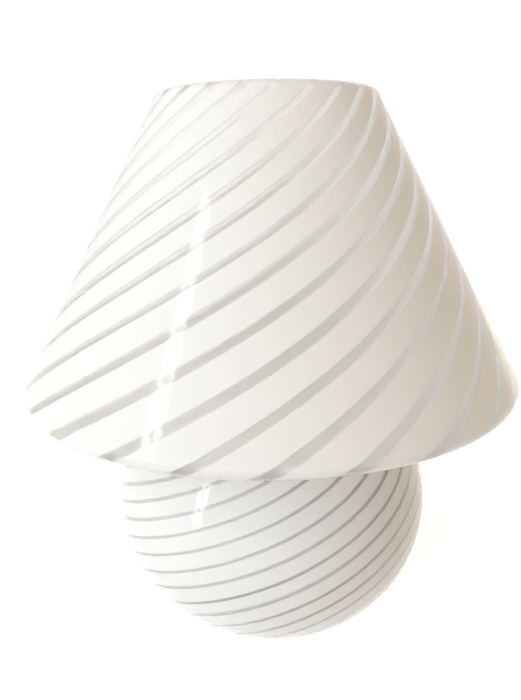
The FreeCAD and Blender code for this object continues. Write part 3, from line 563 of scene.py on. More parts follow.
class FinishDesk(Desk):
    """A desk for one material, with its shader."""

    def __init__(self, material: Material) -> None:
        """Takes the material to work on.

        Args:
            material: The material.
        """
        material.use_nodes = True
        super().__init__(material.node_tree)
        self.shader = self.tree.nodes["Principled BSDF"]

    def dress(self, inputs: dict[str | int, object]) -> None:
        """Wires or sets the shader's inputs."""
        self.wire(self.shader, inputs)

    def effect(self, tree: Tree, inputs: dict[str, object]) -> Sockets:
        """Places a shared effect over the object's coordinates with a finish's own values."""
        place = self.add("ShaderNodeTexCoord").outputs["Object"]
        return self.add("ShaderNodeGroup", {"Vector": place, **inputs}, node_tree=tree).outputs

    def flow(self) -> Sockets:
        """Ways over the striped glass: X from a stripe's edges to its middle, Y up the wall from the foot."""
        flow = self.add("ShaderNodeUVMap", uv_map="flow").outputs["UV"]
        return self.add("ShaderNodeSeparateXYZ", {"Vector": flow}).outputs

    def bump(self, height: Socket, relief: Point) -> None:
        """Raises the surface by a height, with the relief's distance and strength."""
        node = self.add("ShaderNodeBump", {"Height": height, "Distance": relief[0], "Strength": relief[1]})
        self.dress({"Normal": node.outputs["Normal"]})

    def pass_light(self, share: Colour) -> None:
        """Lets the lamps' light shine through the glass.

        Args:
            share: Share of the light that each face lets through.
        """
        shadow = self.add("ShaderNodeLightPath").outputs["Is Shadow Ray"]
        through = self.add("ShaderNodeBsdfTransparent", {"Color": (*share, 1.0)}).outputs[0]
        mix = self.add("ShaderNodeMixShader", {0: shadow, 1: self.shader.outputs[0], 2: through})
        self.wire(self.tree.nodes["Material Output"], {"Surface": mix.outputs[0]})


@dataclass(frozen=True)
class Finish:
    """A finish that builds one material."""

    name: str

    def build(self, effects: Effects) -> Material:
        """Builds the material.

        Args:
            effects: The shared effects.

        Returns:
            The material.
        """
        material = bpy.data.materials.new(self.name)
        self.lay(FinishDesk(material), effects)
        return material

    def lay(self, desk: FinishDesk, effects: Effects) -> None:
        """Wires the finish's own nodes to its shader."""
        raise NotImplementedError


@dataclass(frozen=True)
class OpalGlass(Finish):
    """White opal glass, cased in clear and fire polished."""

    body: Colour = (0.96, 0.955, 0.945)
    thin: Colour = (0.94, 0.93, 0.91)
    edge: Colour = (0.93, 0.925, 0.915)
    edge_reach: float = 0.9
    polish: float = 0.06
    glow: Colour = (1.0, 0.97, 0.92)
    depth: float = 0.0022
    passed: Colour = (0.6, 0.59, 0.57)
    wave_scale: float = 16.0
    cloud_scale: float = 11.0
    relief: Point = (0.0012, 0.35)

    def lay(self, desk: FinishDesk, effects: Effects) -> None:
        """Wires the cloudy white, which is thinner along the stripes.

        Args:
            desk: The material's desk.
            effects: The shared effects.
        """
        waves = desk.effect(effects.waves, {"Wave Scale": self.wave_scale, "Cloud Scale": self.cloud_scale})
        cloudy = desk.blend(waves["Cloud"], self.thin, self.body)
        desk.dress({
            "Base Color": desk.blend(desk.span(desk.flow()["X"], 0.0, self.edge_reach), self.edge, cloudy),
            "Roughness": self.polish,
            "IOR": GLASS_IOR,
            "Subsurface Weight": 1.0,
            "Subsurface Radius": self.glow,
            "Subsurface Scale": self.depth,
        })
        desk.bump(waves["Height"], self.relief)
        desk.pass_light(self.passed)


@dataclass(frozen=True)
class ClearGlass(Finish):
    """Clear glass of the bulb."""

    tint: Colour = (0.985, 0.985, 0.975)
    passed: Colour = (0.97, 0.97, 0.97)
    wave_scale: float = 60.0
    cloud_scale: float = 25.0
    relief: Point = (0.0001, 0.35)

    def lay(self, desk: FinishDesk, effects: Effects) -> None:
        """Wires the clear glass.

        Args:
            desk: The material's desk.
            effects: The shared effects.
        """
        waves = desk.effect(effects.waves, {"Wave Scale": self.wave_scale, "Cloud Scale": self.cloud_scale})
        colour, height = self.tone(desk, waves)
        desk.dress({"Base Color": colour, "Roughness": 0.0, "IOR": GLASS_IOR, "Transmission Weight": 1.0})
        desk.bump(height, self.relief)
        desk.pass_light(self.passed)

    def tone(self, desk: FinishDesk, waves: Sockets) -> tuple[Socket, Socket]:
        """Colour and height of the glass, from its waves."""
        return desk.blend(waves["Cloud"], self.tint, WHITE), waves["Height"]


@dataclass(frozen=True)
class StripeGlass(ClearGlass):
    """Clear stripes that the opal on both sides has left a little cloudy under a clear skin.

    Their colour is painted greyer in the globe than in the shade, as painted shade for the globe's darker inside, and
    they stand a little proud.
    """

    passed: Colour = (0.91, 0.92, 0.92)
    wave_scale: float = 16.0
    relief: Point = (0.0012, 0.35)
    blur: float = 0.6
    # Painted shade: the globe's stripes are tinted greyer for the globe's darker inside, blended in over this span of
    # the wall's way
    globe_painted_shade: Colour = (0.78, 0.775, 0.755)
    globe_painted_shade_span: Point = (2.25, 2.6)
    ridge: float = 0.4

    def lay(self, desk: FinishDesk, effects: Effects) -> None:
        """Wires the clear glass, blurred under its skin."""
        super().lay(desk, effects)
        desk.dress({"Roughness": self.blur, "Coat Weight": 1.0})

    def tone(self, desk: FinishDesk, waves: Sockets) -> tuple[Socket, Socket]:
        """Colour and height of a stripe.

        Args:
            desk: The material's desk.
            waves: The glass's waves.

        Returns:
            The colour, painted greyer in the globe as painted shade for its darker inside, and the height, which rises
            to the stripe's middle.
        """
        colour, height = super().tone(desk, waves)
        ways = desk.flow()
        # Painted shade: below the waist the stripes' colour turns to the greyer globe tint, standing in for the globe's
        # darker inside
        colour = desk.blend(desk.span(ways["Y"], *self.globe_painted_shade_span), self.globe_painted_shade, colour)
        return colour, desk.reckon("ADD", height, desk.reckon("MULTIPLY", ways["X"], self.ridge))


@dataclass(frozen=True)
class PatchyFinish(Finish):
    """A finish whose colour and gloss change in patches."""

    clean: Colour
    worn: Colour
    roughness: Point

    def patch(self, desk: FinishDesk, wear: Socket, dulling: Socket) -> None:
        """Wires the colour and the roughness.

        Args:
            desk: The material's desk.
            wear: Share of the worn colour.
            dulling: Share of the greater roughness.
        """
        desk.dress({
            "Base Color": desk.blend(wear, self.clean, self.worn),
            "Roughness": desk.span(dulling, 0.0, 1.0, *self.roughness),
        })


@dataclass(frozen=True)
class Moulding(PatchyFinish):
    """A moulded plastic, soft rubber or powder coat."""

    grain_scale: float = 900.0
    grain_depth: float = 0.00004
    softness: float = 0.0
    patch_scale: float = 110.0
    glow_depth: float = 0.001
    strength: float = 0.6

    def lay(self, desk: FinishDesk, effects: Effects) -> None:
        """Wires the pebbled skin with its handled patches.

        Args:
            desk: The material's desk.
            effects: The shared effects.
        """
        skin = desk.effect(effects.skin, {"Grain Scale": self.grain_scale, "Patch Scale": self.patch_scale})
        self.patch(desk, skin["Patches"], skin["Patches"])
        desk.dress({"Subsurface Weight": self.softness, "Subsurface Scale": self.glow_depth})
        desk.bump(skin["Height"], (self.grain_depth, self.strength))


@dataclass(frozen=True)
class Metal(PatchyFinish):
    """A bare or plated metal."""

    mark_scale: float = 500.0
    tarnish_scale: float = 160.0
    dulling: Point = (0.6, 0.4)
    relief: Point = (0.00003, 0.5)

    def lay(self, desk: FinishDesk, effects: Effects) -> None:
        """Wires the rolling marks and the tarnish.

        Args:
            desk: The material's desk.
            effects: The shared effects.
        """
        marks = desk.effect(effects.marks, {"Mark Scale": self.mark_scale, "Tarnish Scale": self.tarnish_scale})
        cloudy, lined = (
            desk.reckon("MULTIPLY", marks[name], share) for name, share in zip(("Tarnish", "Marks"), self.dulling)
        )
        self.patch(desk, marks["Tarnish"], desk.reckon("ADD", cloudy, lined))
        desk.dress({"Metallic": 1.0})
        desk.bump(marks["Height"], self.relief)


@dataclass(frozen=True)
class Glaze(PatchyFinish):
    """Glazed porcelain or black glass, with slow waves."""

    wave_scale: float = 120.0
    cloud_scale: float = 150.0
    coat: float = 0.5
    relief: Point = (0.0002, 0.4)

    def lay(self, desk: FinishDesk, effects: Effects) -> None:
        """Wires the pooled glaze.

        Args:
            desk: The material's desk.
            effects: The shared effects.
        """
        waves = desk.effect(effects.waves, {"Wave Scale": self.wave_scale, "Cloud Scale": self.cloud_scale})
        self.patch(desk, waves["Cloud"], waves["Cloud"])
        desk.dress({"Coat Weight": self.coat})
        desk.bump(waves["Height"], self.relief)


def all_finishes(effects: Effects) -> dict[Slot, Material]:
    """Builds the finish of every slot but the striped glass, which takes two.

    Args:
        effects: The shared effects.

    Returns:
        One material for each slot.
    """
    finishes = {
        Slot.BUSH: Moulding("white_nylon", (0.9, 0.9, 0.88), (0.86, 0.855, 0.83), (0.3, 0.42), softness=0.2),
        Slot.SEAL: Moulding(
            "clear_silicone", (0.84, 0.84, 0.82), (0.78, 0.78, 0.75), (0.4, 0.55), 500.0, 0.00005, 0.5
        ),
        Slot.WHITE_STEEL: Moulding(
            "white_powder_coat", (0.88, 0.88, 0.86), (0.84, 0.835, 0.81), (0.35, 0.48), 700.0, 0.00009
        ),
        Slot.SPRING: Metal("blued_spring_steel", (0.55, 0.55, 0.54), (0.38, 0.38, 0.39), (0.25, 0.42), 700.0),
        Slot.ZINC: Metal("bright_zinc", (0.72, 0.72, 0.71), (0.58, 0.58, 0.55), (0.2, 0.42), 600.0),
        Slot.HOLDER: Moulding(
            "white_thermoplastic", (0.9, 0.9, 0.875), (0.87, 0.865, 0.84), (0.22, 0.36), 1100.0, 0.00003, 0.15
        ),
        Slot.PORCELAIN: Glaze("satin_porcelain", (0.9, 0.89, 0.86), (0.85, 0.83, 0.78), (0.12, 0.22)),
        Slot.BRASS: Metal("bare_brass", (0.82, 0.62, 0.29), (0.6, 0.43, 0.2), (0.2, 0.45)),
        Slot.SHELL: Metal("nickel_plate", (0.73, 0.71, 0.67), (0.6, 0.58, 0.54), (0.14, 0.34)),
        Slot.BULB_GLASS: ClearGlass("bulb_glass_clear"),
        Slot.BLACK_GLASS: Glaze("black_vitrite", (0.03, 0.03, 0.035), (0.06, 0.055, 0.06), (0.08, 0.2)),
        Slot.FILAMENT: Moulding(
            "phosphor_coat", (0.93, 0.72, 0.22), (0.88, 0.64, 0.16), (0.5, 0.65), 2500.0, 0.00005, 0.3
        ),
    }
    return {slot: finish.build(effects) for slot, finish in finishes.items()}


# Placing pieces


@dataclass
class Workshop:
    """Turns finished meshes into pieces that ride on the frame."""

    materials: dict[Slot, Material]

    def place(
        self, mesh: Shape, node: str, slot: Slot, body: Body = Body.ROOT, sharp: float = 38.0,
        materials: Sequence[Material] = (),
    ) -> None:
        """Makes a piece that stands for a CAD node.

        Args:
            mesh: Its finished mesh, in the row's frame.
            node: The CAD node that it replaces.
            slot: The record's slot.
            body: The body that it rides on.
            sharp: Edges that turn by more degrees than this stay crisp.
            materials: Its materials, where the slot has several.
        """
        bmesh.ops.dissolve_degenerate(mesh, dist=SLIVER, edges=mesh.edges)
        bmesh.ops.remove_doubles(mesh, verts=mesh.verts, dist=SLIVER)
        data = as_data(mesh, f"{node}_mesh")
        data.polygons.foreach_set("use_smooth", [True] * len(data.polygons))
        data.set_sharp_from_angle(angle=math.radians(sharp))
        for material in materials or (self.materials[slot],):
            data.materials.append(material)
        piece = show(f"{node}_piece", data)
        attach(piece, body.value)
        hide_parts(node)
        log.info("%s: %d faces", piece.name, len(data.polygons))

    def softened(self, node: str, slot: Slot, width: float, body: Body = Body.ROOT, segments: int = 2) -> None:
        """Makes a copy of a flat-faced CAD node with rounded edges.

        Args:
            node: The CAD node.
            slot: The record's slot.
            width: Width of the rounding.
            body: The body that it rides on.
            segments: Faces across the rounding.
        """
        mesh = bmesh.new()
        mesh.from_mesh(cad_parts[node].data)
        bmesh.ops.remove_doubles(mesh, verts=mesh.verts, dist=WELD)
        bmesh.ops.dissolve_limit(mesh, angle_limit=FLAT, verts=mesh.verts, edges=mesh.edges)
        self.place(soften(mesh, width, segments), node, slot, body)


@dataclass(frozen=True)
class SubAssembly:
    """A sub-assembly of the lamp, with the workshop that places its pieces."""

    workshop: Workshop


def heights(node: str) -> Point:
    """Heights of the lowest and of the highest place of a CAD node."""
    return tuple(corner.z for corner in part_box(node))


# The striped glass


@dataclass(frozen=True)
class Level:
    """One ring of the glass: its place, its way along the wall, its stripes' turn, and whether it is inside."""

    place: Point
    way: float
    turn: float
    inner: bool = False


@dataclass(frozen=True)
class Sway:
    """How one stripe wanders: where its three waves start, its own shift and its own width."""

    slow: float
    quick: float
    swell: float
    shift: float
    width: float


@dataclass(frozen=True)
class StripedGlass(SubAssembly):
    """The one-piece blown glass with its clear stripes.

    A law gives the stripes' turn in degrees from the front, by its start, rise and square of the height in shade
    radii. Clear shares are parts of a stripe's period, and a fade is the way where it starts and how far it takes,
    as shares of the wall. A wave is its height, as a share of the period or of the width, and its rate. The rings
    are counted for each part of the wall, from the foot's flat to the top's.
    """

    globe_radius: float = 0.0869
    globe_height: float = 0.0685
    foot_radius: float = 0.0395
    foot_rounding: float = 0.006
    foot_thickness: float = 0.007
    inner_foot_rounding: float = 0.008
    neck_radius: float = 0.033
    neck_rounding: float = 0.014
    ring_drop: float = 0.0055
    shade_radius: float = 0.130
    rim_rounding: float = 0.0028
    shade_height: float = 0.143
    shade_top_radius: float = 0.0562
    shoulder_rounding: float = 0.0014
    lip_width: float = 0.004
    wall: float = 0.0032
    hole_height: float = 0.036
    hole_radius: float = 0.0054
    drill_reach: Point = (0.002, 0.004)
    stripes: int = 24
    columns_each: int = 8
    clear_columns: int = 3
    shade_law: tuple[float, float, float] = (-58.7, 99.5, 26.4)
    globe_law: tuple[float, float, float] = (-171.6, 215.0, 34.0)
    globe_drop: float = 0.28
    globe_top: float = 0.1
    low_height: float = 0.0205
    clear_base: float = 0.205
    clear_waist: float = 0.065
    waist_fade: Point = (0.4, 0.15)
    clear_top: float = 0.07
    top_fade: Point = (0.72, 0.28)
    closed_behind: float = 0.65
    behind_fade: Point = (0.7, 0.26)
    clear_margin: float = 0.2
    opal_columns: tuple[float, ...] = (0.0, 0.09, 0.36, 0.64, 0.91)
    slow_wave: Point = (0.022, 21.0)
    quick_wave: Point = (0.014, 47.0)
    swell_wave: Point = (0.12, 33.0)
    shifts: Point = (-0.03, 0.03)
    widths: Point = (0.88, 1.1)
    way_scale: float = 10.0
    rings: tuple[int, ...] = (8, 7, 40, 16, 18, 12, 40, 6, 2)
    lip_rings: int = 8
    seed: int = 11

    @property
    def side_radius(self) -> float:
        """Radius of the globe's side."""
        inset = self.globe_radius - self.foot_radius
        rise = (self.globe_height - self.foot_rounding) ** 2
        return (inset ** 2 + rise - self.foot_rounding ** 2) / (2.0 * (inset - self.foot_rounding))

    @property
    def side(self) -> Point:
        """Centre of the globe's side."""
        return self.globe_radius - self.side_radius, self.globe_height

    @property
    def neck(self) -> Point:
        """Centre of the waist's hollow."""
        across = self.neck_radius + self.neck_rounding
        reach = (self.side_radius + self.neck_rounding) ** 2 - (across - self.side[0]) ** 2
        return across, self.globe_height + math.sqrt(reach)

    @property
    def ring_height(self) -> float:
        """Height of the shade's widest ring."""
        return self.neck[1] - self.ring_drop

    @property
    def top(self) -> float:
        """Height of the lamp."""
        return self.ring_height + self.shade_height

    def hole_place(self) -> Matrix:
        """Finds where the cord hole's axis leaves the glass.

        Returns:
            The place, with +Z outwards along the axis.
        """
        sine = (self.globe_height - self.hole_height) / self.side_radius
        back = self.side[0] + self.side_radius * math.sqrt(1.0 - sine ** 2)
        lean = Matrix.Rotation(-(RIGHT + math.asin(sine)), 4, "X")
        return Matrix.Translation((0.0, back, self.hole_height)) @ lean

    def walls(self) -> list[list[Point]]:
        """Lays out the wall.

        Returns:
            Places of the outer and of the inner face, from the foot's middle to the top's edge.
        """
        inner_side = self.side_radius - self.wall
        floor = self.foot_thickness + self.inner_foot_rounding
        reach = (inner_side - self.inner_foot_rounding) ** 2 - (self.globe_height - floor) ** 2
        inner_foot = (self.side[0] + math.sqrt(reach), floor)
        rim_outer = self.rim_rounding + self.wall
        shoulder_outer = self.shoulder_rounding + self.wall
        rim = (self.shade_radius - rim_outer, self.ring_height)
        shoulder = (self.shade_top_radius - shoulder_outer, self.top - shoulder_outer)
        neck_angle = bearing(self.side, self.neck)
        under = bearing(self.neck, rim) + math.acos((rim_outer + self.neck_rounding) / math.dist(self.neck, rim))
        lean = (self.rim_rounding - self.shoulder_rounding) / math.dist(rim, shoulder)
        cone = bearing(rim, shoulder) - math.acos(lean)
        below = under - math.pi
        lip = shoulder[0] - self.lip_width
        foot = (self.foot_radius, self.foot_rounding)
        outer = (foot, foot[1], self.side_radius, self.neck_rounding, rim_outer, shoulder_outer, 0.0, self.top)
        inner = (
            inner_foot, self.inner_foot_rounding, inner_side, self.neck_rounding + self.wall,
            self.rim_rounding, self.shoulder_rounding, self.foot_thickness, self.top - self.wall,
        )
        faces = []
        for foot, foot_round, side_round, neck_round, rim_round, shoulder_round, low, high in (outer, inner):
            foot_angle = bearing(self.side, foot)
            faces.append(chain((
                run((0.0, low), (foot[0], low), self.rings[0]),
                arc(foot, foot_round, -RIGHT, foot_angle, self.rings[1]),
                arc(self.side, side_round, foot_angle, neck_angle, self.rings[2]),
                arc(self.neck, neck_round, neck_angle + math.pi, under, self.rings[3]),
                run(on_circle(self.neck, neck_round, under), on_circle(rim, rim_round, below), self.rings[4]),
                arc(rim, rim_round, below, cone, self.rings[5]),
                run(on_circle(rim, rim_round, cone), on_circle(shoulder, shoulder_round, cone), self.rings[6]),
                arc(shoulder, shoulder_round, cone, RIGHT, self.rings[7]),
                run((shoulder[0], high), (lip, high), self.rings[8]),
            )))
        return faces

    def shade_turn(self, height: float) -> float:
        """The stripes' turn on the shade."""
        rise = (height - self.ring_height) / self.shade_radius
        return self.shade_law[0] + self.shade_law[1] * rise + self.shade_law[2] * rise * rise

    def globe_turn(self, height: float) -> float:
        """The stripes' turn on the globe."""
        rise = (height - self.ring_height) / self.shade_radius + self.globe_drop
        return self.globe_law[0] + self.globe_law[1] * rise + self.globe_law[2] * rise * rise

    def stripe_turns(self, outer: Sequence[Point], ways: Sequence[float]) -> list[float]:
        """The stripes' turn at each place, which runs on smoothly over the waist and the foot.

        Args:
            outer: Places of the outer face.
            ways: Their ways along the wall.

        Returns:
            Degrees from the front.
        """
        heights = [height for _, height in outer]
        widest = max(range(len(outer) - 1), key=lambda i: outer[i][0])
        middle = max(range(widest), key=lambda i: outer[i][0] if heights[i] < self.globe_top else 0.0)
        crown_height = self.ring_height - self.globe_drop * self.shade_radius
        crown = min(range(middle, widest), key=lambda i: abs(heights[i] - crown_height))
        low = min(range(middle), key=lambda i: abs(heights[i] - self.low_height))

        def slope(turn: Callable[[float], float], index: int, step: int) -> float:
            """How fast a turn changes along the wall, from one place to the next."""
            return (turn(heights[index + step]) - turn(heights[index])) / (ways[index + step] - ways[index])

        start = (self.globe_turn(heights[crown]), slope(self.globe_turn, crown, -1))
        stop = (self.shade_turn(heights[widest]), slope(self.shade_turn, widest, 1))
        low_turn, low_slope = self.globe_turn(heights[low]), slope(self.globe_turn, low, 1)
        length = ways[widest] - ways[crown]
        turns = []
        for index, (radius, height) in enumerate(outer):
            if index < low:
                turns.append(low_turn - low_slope * (ways[low] - ways[index]))
            elif index <= crown:
                turns.append(self.globe_turn(height))
            elif index < widest:
                turns.append(eased((ways[index] - ways[crown]) / length, length, start, stop))
            elif radius > self.shade_top_radius - self.shoulder_rounding:
                turns.append(self.shade_turn(height))
            else:
                turns.append(turns[-1])
        return turns

    def levels(self) -> list[Level]:
        """Lays out the glass's rings.

        Returns:
            The rings up the outer face, round the top edge and down the inner face.
        """
        outer, inner = self.walls()
        ways = [0.0]
        for start, stop in zip(outer, outer[1:]):
            ways.append(ways[-1] + math.dist(start, stop))
        turns = self.stripe_turns(outer, ways)
        lip = ((outer[-1][0] + inner[-1][0]) / 2.0, (outer[-1][1] + inner[-1][1]) / 2.0)
        edge = arc(lip, self.wall / 2.0, RIGHT, 3.0 * RIGHT, self.lip_rings)[1:-1]
        found = [Level(*values) for values in zip(outer, ways, turns)]
        found += [Level(place, ways[-1], turns[-1]) for place in edge]
        found += [Level(*values, inner=True) for values in reversed(list(zip(inner, ways, turns)))]
        return found

    def clear_share(self, level: Level, total: float) -> float:
        """Share of a stripe's period that is clear. Inside, the opal closes in behind it towards the top.

        Args:
            level: The level.
            total: Length of the wall.

        Returns:
            The share.
        """
        share = level.way / total
        waist, top, behind = (
            smooth_step((share - start) / reach) for start, reach in (self.waist_fade, self.top_fade, self.behind_fade)
        )
        clear = self.clear_base + self.clear_waist * waist + self.clear_top * top
        return clear * (1.0 - self.closed_behind * behind) if level.inner else clear

    def columns(self, level: Level, total: float, sways: Sequence[Sway]) -> list[float]:
        """Turn of each of the mesh's columns at a level, in stripe periods.

        Args:
            level: The level.
            total: Length of the wall.
            sways: The stripes' wandering.

        Returns:
            One turn for each column, first those across the clear part of each stripe, then those across its opal.
        """
        clear = self.clear_share(level, total)
        edges = []
        for sway in sways:
            wander = wave(self.slow_wave, level.way, sway.slow) + wave(self.quick_wave, level.way, sway.quick)
            width = clear * (sway.width + wave(self.swell_wave, level.way, sway.swell))
            middle = wander + sway.shift
            edges.append((middle - width / 2.0, middle + width / 2.0))
        turns = []
        for number, (left, right) in enumerate(edges):
            margin = self.clear_margin * (right - left)
            gap = edges[(number + 1) % len(edges)][0] + 1.0 - right
            shares = [left, left + margin, right - margin, *(right + gap * share for share in self.opal_columns)]
            turns += [number + share for share in shares]
        return turns

    def build(self, opal: Material, clear: Material) -> None:
        """Makes the glass.

        Args:
            opal: Finish of the white stripes.
            clear: Finish of the clear stripes.
        """
        levels = self.levels()
        steps = self.stripes * self.columns_each
        mesh = spin_outline([level.place for level in levels], steps)
        keys = {rounded(*level.place): number for number, level in enumerate(levels)}
        marks: Marks = {}
        for vert in mesh.verts:
            radius = math.hypot(vert.co.x, vert.co.y)
            column = round(math.atan2(vert.co.y, vert.co.x) / CIRCLE * steps) % steps
            marks[vert] = (self.row(keys, radius, vert.co.z), column if radius > MERGE else -1)
        self.mark_stripes(mesh, levels, marks)
        self.turn_stripes(levels, marks)
        inwards, outwards = self.drill_reach
        drill = moved(rod(self.hole_radius, -(self.wall + inwards), outwards), self.hole_place())
        materials = (opal, clear)
        self.workshop.place(carved(mesh, [drill]), "glass_body", Slot.GLASS, sharp=50.0, materials=materials)

    @staticmethod
    def row(keys: dict[Point, int], radius: float, height: float) -> int:
        """Finds the level that a turned vertex came from.

        Args:
            keys: Number of each level by its rounded place.
            radius: The vertex's distance from the axis.
            height: Its height.

        Returns:
            The level's number.
        """
        wanted = rounded(radius, height)
        if wanted in keys:
            return keys[wanted]
        return keys[min(keys, key=lambda place: abs(place[0] - radius) + abs(place[1] - height))]

    def mark_stripes(self, mesh: Shape, levels: Sequence[Level], marks: Marks) -> None:
        """Gives each face its finish and its ways across its stripe and up the wall.

        Args:
            mesh: The glass.
            levels: Its rings.
            marks: Level and column of each vertex, with column -1 on the axis.
        """
        flow = mesh.loops.layers.uv.new("flow")
        for face in mesh.faces:
            found = [marks[vert][1] for vert in face.verts if marks[vert][1] >= 0]
            first = max(found) if max(found) - min(found) > 1 else min(found)
            face.material_index = 1 if first % self.columns_each < self.clear_columns else 0
            for loop in face.loops:
                row, column = marks[loop.vert]
                at_edge = (column if column >= 0 else first) % self.columns_each in (0, self.clear_columns)
                loop[flow].uv = (0.0 if at_edge else 1.0, levels[row].way * self.way_scale)

    def turn_stripes(self, levels: Sequence[Level], marks: Marks) -> None:
        """Turns each vertex about the axis to its place along its stripe.

        Args:
            levels: The glass's rings.
            marks: Level and column of each vertex, with column -1 on the axis.
        """
        chance = random.Random(self.seed)
        sways = [
            Sway(
                *(chance.uniform(0.0, CIRCLE) for _ in range(3)),
                chance.uniform(*self.shifts), chance.uniform(*self.widths),
            )
            for _ in range(self.stripes)
        ]
        total = max(level.way for level in levels)
        table = [self.columns(level, total, sways) for level in levels]
        for vert, (row, column) in marks.items():
            if column >= 0:
                angle = math.radians(levels[row].turn - 90.0) + table[row][column] * CIRCLE / self.stripes
                vert.co.x, vert.co.y = on_circle((0.0, 0.0), levels[row].place[0], angle)


# The fitting in the waist


@dataclass(frozen=True)
class WaistFitting(SubAssembly):
    """The steel star, its pads, the grip spring, and the threaded nipple with its nuts."""

    nipple_radius: float = 0.005
    nipple_bore: float = 0.00375
    nipple_lead: float = 0.0004
    nut_circle: float = 0.0081
    nut_height: float = 0.004
    steel_edge: float = 0.0003
    spring_edge: float = 0.00015
    pad_edge: float = 0.0005

    def build(self) -> None:
        """Makes the fitting's pieces."""
        self.workshop.softened("support_arms", Slot.WHITE_STEEL, self.steel_edge)
        self.workshop.softened("arm_pads", Slot.SEAL, self.pad_edge, segments=3)
        self.workshop.softened("grip_spring", Slot.SPRING, self.spring_edge)
        self.workshop.softened("lock_washer", Slot.SPRING, self.spring_edge)
        self.make_nipple()
        low, high = heights("nipple_nuts")
        bore = self.nipple_radius + CLEARANCE
        bases = (low, high - self.nut_height)
        nuts = [hexagon_nut(self.nut_circle, bore, base, base + self.nut_height) for base in bases]
        self.workshop.place(join(nuts), "nipple_nuts", Slot.ZINC, sharp=25.0)

    def make_nipple(self) -> None:
        """Makes the threaded nipple."""
        low, high = heights("threaded_nipple")
        radius, end, bore = self.nipple_radius, self.nipple_radius - self.nipple_lead, self.nipple_bore
        start, stop = low + self.nipple_lead, high - self.nipple_lead
        outline = run((radius, start), (radius, stop), NIPPLE_THREAD.rings(high - low))
        mesh = spin_outline([*outline, (end, high), (bore, high), (bore, low), (end, low)], Steps.MIDDLE)
        NIPPLE_THREAD.press(mesh, (start, stop), (radius, radius))
        self.workshop.place(mesh, "threaded_nipple", Slot.ZINC, sharp=70.0)


# The lampholder


